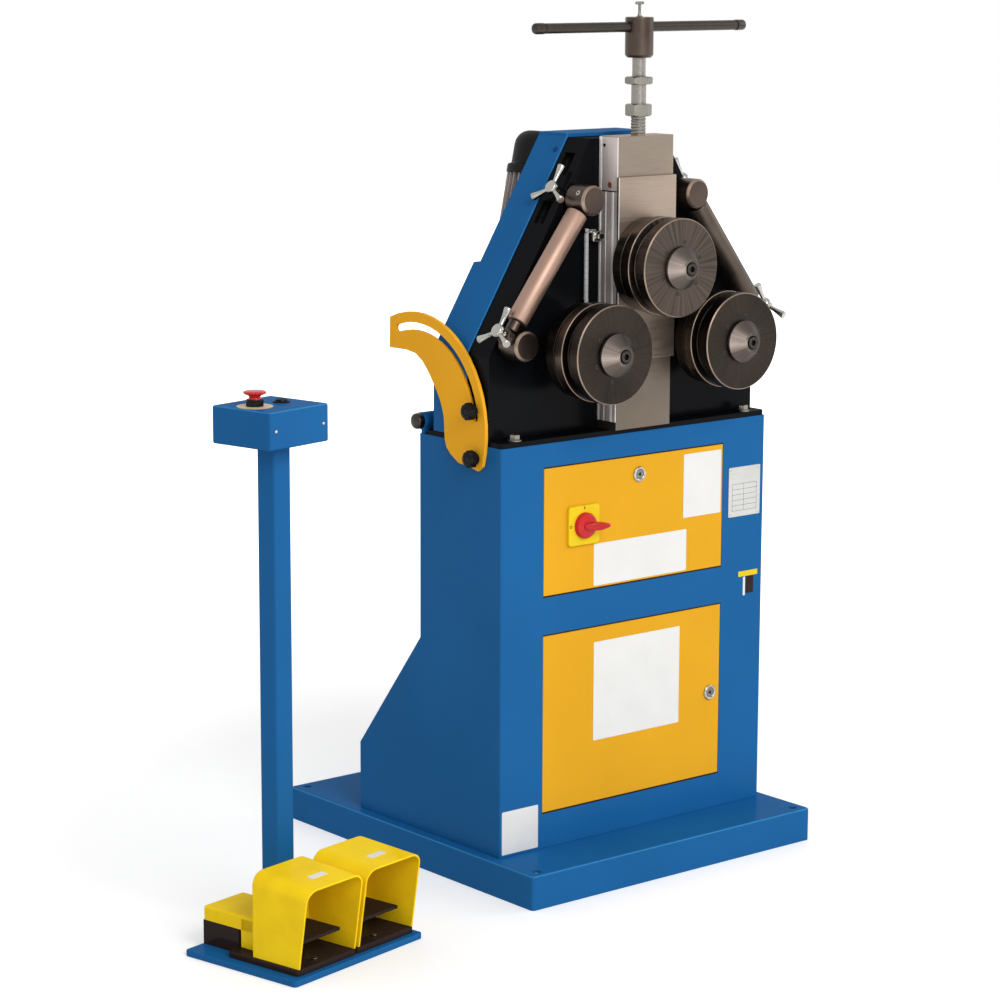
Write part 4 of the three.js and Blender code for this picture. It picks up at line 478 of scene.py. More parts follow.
def piece(bm, name, body, finishes, replaces=(), smooth=38, even=False):
    """A shown piece that rides on a body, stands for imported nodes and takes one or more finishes."""
    mesh = bpy.data.meshes.new(name)
    bm.to_mesh(mesh)
    bm.free()
    mesh.polygons.foreach_set("use_smooth", [True] * len(mesh.polygons))
    mesh.set_sharp_from_angle(angle=radians(smooth))
    finishes = finishes if isinstance(finishes, list) else [finishes]
    for finish in finishes:
        mesh.materials.append(finish)
    item = bpy.data.objects.new(name, mesh)
    bpy.context.scene.collection.objects.link(item)
    if even:
        item.modifiers.new("even_shading", "WEIGHTED_NORMAL").keep_sharp = True
    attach(item, body)
    if replaces:
        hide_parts(*replaces)
    made.append(name)
    return item


def softened_copy(node, body, finish, width=1.0, segments=3, lit_edge=None):
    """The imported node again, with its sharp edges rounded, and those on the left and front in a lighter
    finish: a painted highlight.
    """
    bm = copy_of(node)
    flat = {tuple(round(part, 2) for part in face.normal) for face in bm.faces}
    soften(bm, width, segments)
    bm.normal_update()
    for face in bm.faces:
        facing = tuple(round(part, 2) for part in face.normal)
        if lit_edge and facing not in flat and face.normal.x < -0.25 and face.normal.y < -0.25:
            face.material_index = 1
    finishes = [finish, lit_edge] if lit_edge else finish
    return piece(bm, node + "_rounded", body, finishes, [node], even=True)


# %% [markdown]
# ## Base and cabinet
#
# The base is a tray of thick sheet with four anchor holes: its corners are rounded, its top edge is folded.
# A box with those edges rounded, opened underneath and given a wall makes the same shape.

# %% Base tray
BASE_SHEET, BASE_CORNER, BASE_FOLD, BASE_LIP, BASE_BEAM = 4, 6, 3, 42, 80
ANCHOR_X, ANCHOR_Y, ANCHOR_RADIUS = (-282, 282), (-308, 308), 7


def base_tray():
    low, high = span("base_plate")
    bm = block(low, high, edge=0)
    bevel(bm, upright_edges(bm), BASE_CORNER, 8)
    soften(bm, BASE_FOLD, 4, 60, where=lambda at: at.z > high.z - 1)
    pierce(bm, high.z, [(x, y) for x in ANCHOR_X for y in ANCHOR_Y], ANCHOR_RADIUS)
    bottom = [f for f in bm.faces if f.normal.z < -0.9]
    bmesh.ops.inset_region(bm, faces=bottom, thickness=BASE_LIP * MM, use_even_offset=True)
    bmesh.ops.delete(bm, geom=bottom, context="FACES")
    bmesh.ops.solidify(bm, geom=bm.faces[:], thickness=BASE_SHEET * MM)
    face_out(bm)
    # Painted highlight: the folded top edge takes the lighter blue.
    for face in bm.faces:
        if 0.3 < face.normal.z < 0.95 and face.calc_center_median().z > (high.z - BASE_FOLD) * MM:
            face.material_index = 1
    half = BASE_BEAM / 2
    beam = block((-half, low.y + 5, 0), (half, high.y - 5, high.z - 1), edge=2)
    return joined(bm, beam)


piece(base_tray(), "base_tray", "root", [blue_paint, blue_edge_highlight], ["base_plate"], even=True)

# %% [markdown]
# The cabinet is bent from 3 mm sheet and welded, so its outer corners have a bend radius, and every
# cut edge is only broken. Rounding the solid's own edges, the bends first, keeps it true to the frame.

# %% Cabinet
BEND_RADIUS, BROKEN_EDGE = 3.0, 0.7


def cabinet():
    low, high = span("cabinet_shell")
    bm = copy_of("cabinet_shell")
    front_corner = lambda at: abs(abs(at.x) - high.x) < 0.5 and abs(at.y - low.y) < 0.5
    soften(bm, BEND_RADIUS, 4, 60, where=front_corner)
    soften(bm, BROKEN_EDGE, 3, 32)
    return bm


piece(cabinet(), "cabinet_sheet", "root", blue_paint, ["cabinet_shell"], even=True)
softened_copy("electrical_panel", "electrical_panel", yellow_paint, 0.8)
softened_copy("tool_door", "tool_door", yellow_paint, 0.8)

# %% [markdown]
# Dark strips above and below each door stand in for the shade in the gaps round the openings: painted shade.

# %% Painted shade in the door gaps
GAP_SHADE_FRONT, GAP_SHADE_BACK, GAP_SHADE_WIDTH = -221.0, -219.4, 2.2
gap_shade = bmesh.new()
for node in ("electrical_panel", "tool_door"):
    low, high = span(node)
    for foot in (low.z - GAP_SHADE_WIDTH - 0.2, high.z + 0.2):
        # Painted shade: a dark strip where the gap's shadow falls.
        strip = block((low.x - 1, GAP_SHADE_FRONT, foot), (high.x + 1, GAP_SHADE_BACK, foot + GAP_SHADE_WIDTH), 0.4)
        gap_shade = joined(gap_shade, strip)
piece(gap_shade, "door_gap_shade", "root", slab_plastic)

# %% [markdown]
# Both doors have a quarter-turn lock: a plated rim, a round core that is set back, a small triangular
# drive, and a cam behind the sheet.

# %% Locks
LOCK_RIM, LOCK_CORE, LOCK_BARREL, CAM_FRONT, CAM_SHEET, CAM_HALF = 12.5, 8.6, 10, 6.3, 3, 7


def quarter_turn_lock(node):
    low, high = span(node)
    x, y, z = at = (low.x + LOCK_RIM, low.y, high.z - LOCK_RIM)
    depth = high.y - y
    rim = turned([
        (LOCK_CORE, 1.8), (LOCK_CORE, 0.6), (LOCK_CORE + 0.8, 0), (LOCK_RIM - 1, 0), (LOCK_RIM, 1),
        (LOCK_RIM, 3), (LOCK_BARREL, 3), (LOCK_BARREL, depth - 1), (LOCK_BARREL - 2, depth), (0, depth),
        (0, 1.8), (LOCK_CORE, 1.8),
    ], Y, at)
    core = cylinder(LOCK_CORE - 0.3, 1, 2.6, Y, at)
    drive = turned([(0, 0.2), (3.6, 0.2), (3.6, 1.4), (0, 1.4)], Y, at, 3)
    points_right = high.x - x > LOCK_RIM + 2
    right, foot = (high.x, z - CAM_HALF) if points_right else (x + CAM_HALF, low.z)
    front = y + CAM_FRONT
    cam = block((x - CAM_HALF, front, foot), (right, front + CAM_SHEET, z + CAM_HALF), 0.6)
    whole = joined(rim, tinted(core, 1), tinted(drive, 2), cam)
    piece(whole, node + "_barrel", node, [chrome, dull_chrome, black_plastic], [node])


quarter_turn_lock("panel_lock")
quarter_turn_lock("door_lock")

# %% [markdown]
# The main switch is a moulded plate with a raised ring, and a domed knob with a blade that ends in a
# pointer. The marks are the usual 0 and I.

# %% Main switch
SWITCH_SIDE, SWITCH_CORNER, SWITCH_DEPTH, SWITCH_RING, SWITCH_BODY, MARK = 64, 5, 6, 25, 24, 0.2


def switch_plate():
    low, high = span("main_switch_plate")
    centre = middle("main_switch_plate")
    x, y, z = at = (centre.x, low.y, centre.z)
    outline = [(x + u, y, z + v) for u, v in rounded(SWITCH_SIDE, SWITCH_SIDE, SWITCH_CORNER)]
    plate = soften(sheet(outline, (0, SWITCH_DEPTH, 0)), 1.2, 3, 60)
    ring = turned([
        (SWITCH_RING - 2.5, 1), (SWITCH_RING - 2.2, -0.2), (SWITCH_RING - 0.4, -0.2), (SWITCH_RING, 1),
        (SWITCH_RING - 2.5, 1),
    ], Y, at)
    neck = cylinder(15, 2, SWITCH_DEPTH + 4, Y, at)
    half = SWITCH_BODY
    body = block((x - half, y + SWITCH_DEPTH + 3, z - half), (x + half, high.y, z + half), 1.5)
    stroke = block((x - 0.9, y - MARK, z + 26), (x + 0.9, y + 1, z + 30.5), 0)
    nought = turned([(1.5, 1), (1.5, -MARK), (2.4, -MARK), (2.4, 1), (1.5, 1)], Y, (x - 28.4, y, z), 24)
    return joined(plate, ring, neck, tinted(body, 1), tinted(stroke, 1), tinted(nought, 1))


piece(switch_plate(), "main_switch_face", "electrical_panel", [switch_plastic, black_plastic],
      ["main_switch_plate"], even=True)


KNOB_DISC, KNOB_RISE = 21, 9


def switch_knob():
    low, high = span("main_switch_knob")
    x, z = middle("main_switch_plate").x, middle("main_switch_plate").z
    back = high.y - 10
    top, blade = back - KNOB_RISE, low.y
    at = (x, back, z)
    disc = turned([
        (0, 0), (KNOB_DISC, 0), (KNOB_DISC, -KNOB_RISE * 0.55), (KNOB_DISC - 1.5, -KNOB_RISE * 0.85),
        (KNOB_DISC - 5, -KNOB_RISE), (0, -KNOB_RISE - 1),
    ], Y, at)
    half = [(-9, 4.5), (6, 6.5), (16, 6), (33, 3)]
    outline = [(u, -v) for u, v in half] + half[::-1]
    grip = sheet([(x + u, top + 2, z + v) for u, v in outline], (0, blade - top - 2, 0))
    soften(grip, 2.6, 4, 28)
    for vert in grip.verts:
        if vert.co.y / MM < top:
            fall = max(0, 12 - (vert.co.x / MM - x)) / KNOB_DISC
            vert.co.y += fall * (top - blade) * 0.8 * MM
    return joined(disc, grip, cylinder(4, -1, high.y - back, Y, at))


piece(switch_knob(), "main_switch_handle", "main_switch", red_plastic, ["main_switch_knob"])

# %% [markdown]
# ## Quadrant, hinge and clamp knobs
#
# The quadrant is laser-cut plate in panel yellow. Its outline is already in the frame, so a softened
# copy is enough. The hinge shaft ends in domed caps, and the two knobs have the fluted grip of a
# moulded screw knob.

# %% Quadrant and hinge shaft
softened_copy("quadrant_plate", "root", quadrant_paint, 0.9)


HINGE_PIN, HINGE_SEAT, HINGE_DOME = 10, 283.3, 7


def hinge_shaft():
    low, high = span("hinge_shaft")
    cap, foot = (high.z - low.z) / 2, high.x - HINGE_DOME
    turns = [radians(angle) for angle in range(15, 90, 15)]
    dome = [(cap * cos(turn), foot + HINGE_DOME * sin(turn)) for turn in turns]
    half = [(HINGE_PIN, HINGE_SEAT), (cap, HINGE_SEAT), (cap, foot), *dome, (0, high.x)]
    return turned(mirrored(half), X, (0, middle("hinge_shaft").y, middle("hinge_shaft").z), 48)


piece(hinge_shaft(), "hinge_shaft_domed", "root", oiled_steel, ["hinge_shaft"])

# %% Fluted clamp knobs
KNOB_RADIUS, KNOB_FLUTES, FLUTE_DEPTH = 14, 9, 1.6


def clamp_knob(node):
    low, high = span(node)
    at = Vector((low.x, middle(node).y, middle(node).z))
    length = high.x - low.x
    grip = turned([
        (0, 1.2), (5, 1.2), (6, 0), (KNOB_RADIUS - 3, 1), (KNOB_RADIUS, 4), (KNOB_RADIUS, 14),
        (KNOB_RADIUS - 3, 16), (9, 17), (9, 19.7), (5, 19.7), (5, length), (0, length),
    ], X, at, KNOB_FLUTES * 8)
    for vert in grip.verts:
        away = vert.co / MM - at
        away.x = 0
        if away.length > KNOB_RADIUS - 1:
            turn = atan2(away.z, away.y) * KNOB_FLUTES
            vert.co -= away.normalized() * (0.5 - 0.5 * cos(turn)) * FLUTE_DEPTH * MM
    piece(grip, node + "_fluted", node, black_plastic, [node])


clamp_knob("head_clamp_knob")
clamp_knob("quadrant_foot_knob")

# %% [markdown]
# ## Head
#
# The head is a black weldment that carries the rolls, closed at the back by a blue gear cover. Its
# plates are copied from the frame with rounded edges: wide ones on the folded cover, narrow ones on
# the machined plates.

# %% Plates of the head
softened_copy("head_base_plate", "head", black_paint, 1.2)
# On the housing, the gear cover and the ram's front plate, rounded edges facing front and left take a
# lighter finish: painted highlights.
softened_copy("head_housing", "head", black_paint, 1.2, lit_edge=black_edge_highlight)
softened_copy("gear_cover", "head", blue_paint, 1.1, lit_edge=blue_edge_highlight)
softened_copy("column_block", "head", column_steel, 0.9)
softened_copy("ram", "ram", ram_steel, 0.8)
softened_copy("ram_front_plate", "ram", ram_steel, 0.8, lit_edge=highlight_steel)
softened_copy("reducer_housing", "head", casting, 3.0)
for node in ("bearing_plate", "left_roll_gear", "right_roll_gear", "pinion_shaft"):
    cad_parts[node].data.materials.clear()
    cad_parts[node].data.materials.append(hidden_steel)

low, high = span("spindle_nut")
tall = high.z - low.z
nut = turned([
    (12.3, 0), (16.4, 0), (17, 0.6), (17, tall - 0.8), (16.2, tall), (13, tall), (12.3, tall - 0.7),
    (12.3, 0),
], Z, (0, middle("spindle_nut").y, low.z))
piece(nut, "spindle_nut_turned", "head", bronze, ["spindle_nut"])

# %% Screws on the slopes of the gear cover
FLANK_X, FLANK_Z, FLANK_TILT = 283, 856, 31.52
COVER_RISE, COVER_SCREW = 2.5, (-122.5, 364)


def flank(side):
    """Places a piece on one slope: the local Z axis runs up the slope and X points outwards or inwards."""
    return moved(side * FLANK_X, 0, FLANK_Z) @ rotated(-side * FLANK_TILT, "Y")


def cover_screw(side):
    profile = [(0, -1), (4.6, -1), (4.6, 0.6), (3.8, 1.2), (0, 1.5)]
    return place(turned(profile, side * X, (side * COVER_RISE, *COVER_SCREW), 32), flank(side))


piece(joined(cover_screw(-1), cover_screw(1)), "cover_screws", "head", darker_blue)

# %% [markdown]
# The column's flanks carry ground gib strips that guide the ram, a cover plate at the top with a
# screw hole, and a copper plug. Each is only a millimetre proud, so thin blocks are enough.

# %% Gib strips, cover plates and plugs on the column
STRIPS = [(-219.5, 5.0), (-203.5, 1.6), (-189.8, 4.6)]
STRIP_FOOT, STRIP_TOP, CAP_FOOT = 738, 1104, 1106


def column_trim():
    low, high = span("column_block")
    whole = bmesh.new()
    for side in (-1, 1):
        face = side * high.x

        def proud(rise, front, back, foot, top, edge=0.5):
            near, far = sorted((face - side, face + side * rise))
            return block((near, front, foot), (far, back, top), edge)

        # The strips and the rib are ground steel painted lighter as highlights; the field between them and
        # the cover plate are lighter sheets, a painted reflection on the flank.
        strips = [proud(1.2, y - width / 2, y + width / 2, STRIP_FOOT, STRIP_TOP) for y, width in STRIPS]
        field = proud(0.5, low.y + 1.5, high.y - 0.4, STRIP_FOOT, STRIP_TOP, 0.2)
        cap = proud(1.4, low.y + 1, high.y - 0.4, CAP_FOOT, high.z - 1)
        rib = proud(1.8, high.y - 7, high.y - 0.4, CAP_FOOT, high.z - 1)
        # The screw hole is a black disc: painted shade.
        hole_shade = cylinder(2.6, -1, 2.0, side * X, (face, high.y - 13, high.z - 14), 0.2, 24)
        plug = cylinder(5, -1, 2.0, side * X, (face, low.y + 18, CAP_FOOT + 9), 0.5, 32)
        # Painted highlight: a thin light strip along the front edge of the left flank.
        if side < 0:
            strips.append(proud(1.4, low.y + 0.4, low.y + 2.0, STRIP_FOOT, high.z - 1, 0.3))
        lit_strips = [tinted(strip, 3) for strip in (*strips, rib)]
        whole = joined(whole, *lit_strips, field, tinted(cap, 4), tinted(hole_shade, 1), tinted(plug, 2))
    return whole


piece(column_trim(), "column_gib_strips", "head",
      [lit_side_steel, black_plastic, copper, highlight_steel, lit_cap_steel])

# %% [markdown]
# ## Rolls
#
# A bending roll is turned from one piece: a front disc, a groove, a second rim, a shallow step and a
# rear disc. It is seen from close by, so its outline has every chamfer. A cone-shaped nut clamps it to
# its shaft, and small set screws lie round the nut.

# %% Roll outline
ROLL_RADIUS, ROLL_GROOVE, ROLL_STEP, ROLL_BORE = 78, 66, 75, 20.3
SHAFT_RADIUS, JOURNAL, JOURNAL_END, NUT_GAP, NUT_LENGTH = 20, 25, -152, 0.3, 23
SCREW_CIRCLE, SET_SCREWS, SCREW_PROUD = 41, 6, 1.6


def roll_profile(length):
    rim, groove, step = ROLL_RADIUS, ROLL_GROOVE, ROLL_STEP
    return [
        (ROLL_BORE, 0), (rim - 1.6, 0), (rim, 1.6), (rim, 19), (rim - 1, 20),
        (groove + 1, 21.5), (groove, 22.5), (groove, 35), (groove + 1, 36),
        (rim - 1, 37.5), (rim, 38.5), (rim, 54), (rim - 1, 55), (step - 3.4, 56), (step - 4, 57),
        (step - 4, 59), (step - 0.8, 60), (step, 60.8), (step, length - 1), (step - 1, length),
        (ROLL_BORE, length), (ROLL_BORE, 0),
    ]


def socket_screw(radius, height, socket, axis, at, steps=32, first=0):
    """A round screw head with a hexagonal socket: two open shells whose rims are closed by one face."""
    edge = radius * 0.12
    wall = turned([(0, 0), (radius, 0), (radius, height - edge), (radius - edge, height)], steps=steps)
    recess = turned([(socket, height), (socket, height * 0.35), (0, height * 0.35)], steps=6)
    # The socket's inside takes the piece's next finish, black plastic where the piece has one: painted shade
    # in the recess.
    head = joined(wall, tinted(recess, 1))
    bmesh.ops.triangle_fill(head, use_beauty=True, edges=[e for e in head.edges if e.is_boundary])
    face_out(head)
    for face in head.faces:
        face.material_index += first
    return place(head, standing(axis, at))


# %% Roll shaft, nut and set screws
def roll_shaft(node, at, length):
    low, high = span(node)
    foot, tip = low.y - at[1], high.y - at[1]
    tail = [(JOURNAL, tip - 1), (JOURNAL - 1, tip), (0, tip)]
    if high.y > JOURNAL_END:
        end = JOURNAL_END - at[1]
        tail = [(JOURNAL, end - 1), (JOURNAL - 1, end), (SHAFT_RADIUS, end), (SHAFT_RADIUS, tip - 1),
                (SHAFT_RADIUS - 1, tip), (0, tip)]
    seat = length + 0.3
    return turned([
        (0, foot), (9, foot), (10, foot + 1), (10, 4), (SHAFT_RADIUS, 4), (SHAFT_RADIUS, seat), (35, seat),
        (36, seat + 1), (36, seat + 2.4), (JOURNAL, seat + 2.4), *tail,
    ], Y, at)


def roll_nut(x, y, z):
    cone = turned([
        (10.4, 0), (33, 0), (34, -1), (34, -5), (33.4, -6), (17.4, 1 - NUT_LENGTH), (16.4, -NUT_LENGTH),
        (11.4, -NUT_LENGTH), (11, 0.5 - NUT_LENGTH), (11, 4 - NUT_LENGTH), (10.4, 4 - NUT_LENGTH), (10.4, 0),
    ], Y, (x, y - NUT_GAP, z), 72)
    return joined(cone, socket_screw(9.4, 6.6, 5.2, FRONT, (x, y - NUT_GAP - NUT_LENGTH + 4.2, z), 40, 1))


def set_screw(x, y, z, count):
    turn = 2 * pi * (count + 0.35) / SET_SCREWS
    at = (x + SCREW_CIRCLE * cos(turn), y + SCREW_PROUD, z + SCREW_CIRCLE * sin(turn))
    return socket_screw(3.4, 2.2, 1.9, FRONT, at, 20)


# %% The three rolls
ROLL_COLOUR, NUT_COLOUR = (0.030, 0.0235, 0.0195), (0.30, 0.245, 0.215)
# Painted highlight on the cone nuts: darker in two steps outside a narrow wedge on one side.
NUT_GLINTS = ((0.42, 0.995, 0.86), (0.60, 0.70, -0.2))
# The upper roll is painted lighter than the lower two, with stronger sheen rays, though all three are the
# same steel: painted light.
for body, tone, fan in (("upper_roll", 2.3, 0.75), ("left_roll", 1.0, 0.25), ("right_roll", 1.0, 0.25)):
    low, high = span(body)
    at = (middle(body).x, low.y, middle(body).z)
    axis = (at[0], 0, at[2])
    colour = tuple(tone * value for value in ROLL_COLOUR)
    turned_face = lathe_turned(body + "_steel", "dark_steel", colour, 0.36, axis, fan=fan)
    disc = turned(roll_profile(high.y - low.y), Y, at, 128)
    # Painted highlights: the front chamfers take a lighter steel, and the second rim a lighter, glossier
    # one.
    for face in disc.faces:
        depth = face.calc_center_median().y / MM - low.y
        if 0.3 < abs(face.normal.y) < 0.95 and (depth < 2 or 36.5 < depth < 39):
            face.material_index = 1
        elif 38 < depth < 55:
            face.material_index = 2
    piece(disc, body + "_disc", body, [turned_face, highlight_edge_steel, rim_highlight_steel], [body], smooth=30, even=True)
    shaft = roll_shaft(body + "_shaft", at, high.y - low.y)
    piece(shaft, body + "_axle", body, plain_steel, [body + "_shaft"], smooth=30)
    cone_steel = lathe_turned(body[:-4] + "nut_steel", "machined_steel", NUT_COLOUR, 0.33, axis, 0.7,
                              glints=NUT_GLINTS)
    piece(roll_nut(*at), body + "_cone_nut", body, [cone_steel, oiled_steel, black_plastic], [body + "_nut"],
          smooth=30, even=True)
    screws = joined(*[set_screw(*at, count) for count in range(SET_SCREWS)])
    piece(screws, body + "_set_screws", body, [oiled_steel, black_plastic], smooth=30)
print("pieces so far:", len(made))

# %% [markdown]
# ## Spindle and T-handle
#
# The spindle is a trapezoidal screw. One tooth of its outline, spun with a rise of one pitch for every
# turn and merged, is a true thread. Two cuts square off its ends. Above the stop nut it is ground smooth.

# %% Threaded spindle
THREAD_RADIUS, THREAD_ROOT, THREAD_PITCH, THREAD_STEPS = 12, 11.2, 5, 32
NECK_RADIUS, SHANK_RADIUS = 11.8, 10.6


def cut_off(bm, at, away):
    """Cuts away what lies beyond a plane, and closes what the cut leaves open."""
    geometry = bm.verts[:] + bm.edges[:] + bm.faces[:]
    bmesh.ops.bisect_plane(bm, geom=geometry, plane_co=at * MM, plane_no=away, clear_outer=True)
    on_plane = lambda vert: abs((vert.co - at * MM).dot(away)) < 0.01 * MM
    rim = [e for e in bm.edges if e.is_boundary and on_plane(e.verts[0]) and on_plane(e.verts[1])]
    if len(rim) > 2:
        bmesh.ops.edgeloop_fill(bm, edges=rim)


def thread(start, end, at):
    tooth = [(THREAD_ROOT, 0), (THREAD_ROOT, 0.16), (THREAD_RADIUS, 0.40), (THREAD_RADIUS, 0.62),
             (THREAD_ROOT, 0.86), (THREAD_ROOT, 1)]
    turns = ceil((end - start) / THREAD_PITCH) + 2
    bm = bmesh.new()
    foot = start - THREAD_PITCH
    points = [bm.verts.new((radius * MM, 0, (foot + rise * THREAD_PITCH) * MM)) for radius, rise in tooth]
    chain = [bm.edges.new(pair) for pair in zip(points, points[1:])]
    bmesh.ops.spin(
        bm, geom=points + chain, angle=2 * pi * turns, steps=THREAD_STEPS * turns, axis=Z,
        cent=(0, 0, 0), dvec=(0, 0, THREAD_PITCH / THREAD_STEPS * MM),
    )
    bmesh.ops.remove_doubles(bm, verts=bm.verts[:], dist=0.01 * MM)
    cut_off(bm, start * Z, -Z)
    cut_off(bm, end * Z, Z)
    face_out(bm)
    return place(bm, moved(*at))


low, high = span("spindle")
spindle_y = middle("tommy_bar").y
lock_top = span("lock_nut")[1].z
stop_foot = span("stop_nut")[0].z
screw = thread(low.z, stop_foot + 4, (0, spindle_y, 0))
shank = turned([
    (0, stop_foot + 3), (NECK_RADIUS, stop_foot + 3), (NECK_RADIUS, lock_top + 0.4),
    (SHANK_RADIUS, lock_top + 1.6), (SHANK_RADIUS, high.z - 0.4), (0, high.z - 0.4),
], Z, (0, spindle_y, 0))
piece(joined(screw, shank), "spindle_screw", "spindle", plain_steel, ["spindle"], smooth=32)

# %% Hexagon nuts with the chamfered corners of turned bar
NUT_CUTS, CHAMFER_RISE, CHAMFER_START = 24, 1.7, 0.985


def hexagon_nut(node):
    low, high = span(node)
    radius = (high.y - low.y) / 2
    bm = turned([(0, low.z), (radius, low.z), (radius, high.z), (0, high.z)], steps=6)
    place(bm, rotated(30))
    reach = radius * cos(radians(30)) * CHAMFER_START
    for count in range(NUT_CUTS):
        turn = 2 * pi * count / NUT_CUTS
        for up, height in ((1, high.z), (-1, low.z)):
            out = Vector((cos(turn), sin(turn), CHAMFER_RISE * up)).normalized()
            cut_off(bm, Vector((reach * cos(turn), reach * sin(turn), height)), out)
    face_out(bm)
    piece(place(bm, moved(0, spindle_y, 0)), node + "_hexagon", "spindle", nut_steel, [node], smooth=18)


hexagon_nut("stop_nut")
hexagon_nut("lock_nut")

# %% [markdown]
# The hub is a turned steel block with a cross hole for the tommy bar. A wing screw on its top holds the
# bar in place.

# %% Hub, wing screw and tommy bar
HUB_RADIUS, HUB_LENGTH, BAR_RADIUS, BAR_BOSS = 22.5, 63.2, 8.0, 8.6


def handle_hub():
    low, high = span("t_handle_hub")
    radius, top, tip, boss = HUB_RADIUS, HUB_LENGTH, high.z - low.z, BAR_RADIUS
    at = (0, spindle_y, low.z)
    whole = turned([
        (12.4, 0), (radius - 3.4, 0), (radius - 0.5, 3.4), (radius, 4.2), (radius, top - 1.8),
        (radius - 0.6, top - 0.5), (radius - 2, top), (0, top),
    ], Z, at, 72)
    for side in (-1, 1):
        whole = joined(whole, turned([
            (boss + 0.3, 0), (boss + 1.7, 0), (boss + 1.7, 2.3), (boss + 1.3, 2.7), (boss + 0.7, 2.7),
            (boss + 0.3, 2.3), (boss + 0.3, 0),
        ], side * X, (side * (radius - 2.2), spindle_y, middle("tommy_bar").z), 48))
    screw = turned([
        (5, top - 1), (5, top + 1), (3.4, top + 2.2), (2.4, top + 6), (2.4, tip - 5), (3.2, tip - 4.6),
        (3.2, tip - 0.4), (2.8, tip), (0, tip),
    ], Z, at, 40)
    half_wing = [(2.1, 3), (2.4, 7.2), (1.6, 8.3), (0, 8.5)]
    wing = turned(mirrored(half_wing), X, (0, spindle_y, high.z - 2.4), 32)
    return joined(whole, tinted(screw, 1), tinted(wing, 1))


piece(handle_hub(), "handle_hub_turned", "spindle", [head_steel, nut_steel], ["t_handle_hub"], smooth=30,
      even=True)

low, high = span("tommy_bar")
end = high.x
half_bar = [
    (BAR_RADIUS, end - 21), (BAR_RADIUS - 0.9, end - 20.4), (BAR_RADIUS - 0.9, end - 18.8),
    (BAR_BOSS, end - 18.2), (BAR_BOSS, end - 4.4), (BAR_BOSS - 0.7, end - 2.2), (BAR_BOSS - 2.6, end - 0.6),
    (BAR_BOSS - 5, end), (0, end),
]
other_half = [(radius, low.x + end - reach) for radius, reach in reversed(half_bar)]
bar = turned(other_half + half_bar, X, (0, spindle_y, middle("tommy_bar").z), 48)
piece(bar, "tommy_bar_turned", "spindle", oiled_steel, ["tommy_bar"], smooth=30)

# %% [markdown]
# ## Side guides
#
# Each slope of the head carries a guide roller on an axle between two round heads. The heads are seated
# in the slope and clamped from outside by three-armed handles.

# %% Guides and their clamps
HEAD_INSET, HEAD_FRONT, GUIDE_Y, LOW_STATION, HIGH_STATION = 22, -237, -215, 36.6, 292.8
AXLE_REACH, AXLE_LEAN, ROLLER_FOOT, ROLLER_TOP, BLOCK_REACH = 4.6, 5.642, 28.95, 231.95, 15


def on_axle(side):
    """Places a piece on the axle, which leans a little more than the slope."""
    return flank(side) @ moved(side * AXLE_REACH, GUIDE_Y, LOW_STATION) @ rotated(-side * AXLE_LEAN, "Y")


def guide_head(x, station):
    drum = turned([
        (0, 0), (19.4, 0), (20.4, 0.3), (23.5, 3.6), (24, 4.8), (24, 42.4), (23.4, 43.6), (22.6, 44),
        (13, 44), (13, 84), (12, 85), (0, 85),
    ], Y, (x, HEAD_FRONT, station), 72)
    # Painted highlight: the front chamfer of each head takes the lighter steel.
    for face in drum.faces:
        if 0.6 < face.calc_center_median().y / MM - HEAD_FRONT < 5:
            face.material_index = 3
    return drum


def guide_bracket(side):
    x, outward = -side * HEAD_INSET, side * X
    axle = joined(cylinder(7, 0, 257.4, chamfer=0.3), cylinder(11, 11, ROLLER_FOOT - 0.6, chamfer=1.2))
    reach = BLOCK_REACH
    cross = turned([
        (0, -21), (13, -21), (13, reach - 1.2), (11.8, reach), (5.4, reach), (5.4, reach - 4),
        (0, reach - 4),
    ], outward, (0, GUIDE_Y, LOW_STATION), 56)
    heads = [guide_head(x, station) for station in (LOW_STATION, HIGH_STATION)]
    screw = socket_screw(4.2, 1.2, 2.1, outward, Vector((x, -221, HIGH_STATION)) + outward * 23.6, first=1)
    return joined(place(axle, on_axle(side)), place(joined(cross, *heads, screw), flank(side)))


def guide_roller(side):
    half = (ROLLER_TOP - ROLLER_FOOT) / 2
    profile = mirrored([(17, half - 2.2), (16.3, half - 0.8), (14.8, half), (7.3, half)])
    return place(turned([*profile, profile[0]], Z, (0, 0, ROLLER_FOOT + half), 72), on_axle(side))


# %% Three-armed clamp handle
ARM_HEIGHT, LOWER_STUD, UPPER_STUD, UPPER_SEAT = 12.3, -3.7, -8.7, -168


def clamp_handle(side, centre, stud_tip):
    whole = turned([
        (0, stud_tip), (5, stud_tip), (5, 0.3), (7.2, 0.3), (7.7, 1), (7.4, 3.3), (7.4, 6.3), (8.4, 7.3),
        (10.5, 8.3), (11, 9.5), (11, 15.7), (10, 17.5), (7.6, 18.3), (0, 18.3),
    ], side * X, centre, 48)
    for angle in (0, 120, 240):
        whole = joined(whole, turned([
            (0, 5), (3.7, 5), (3.4, 11), (3.6, 16), (4.3, 24), (5.4, 31), (6.4, 37), (6.4, 38.4),
            (5.6, 39.3), (0, 39.5),
        ], rotated(angle, "X") @ Z, Vector(centre) + side * ARM_HEIGHT * X, 32))
    return place(whole, flank(side))


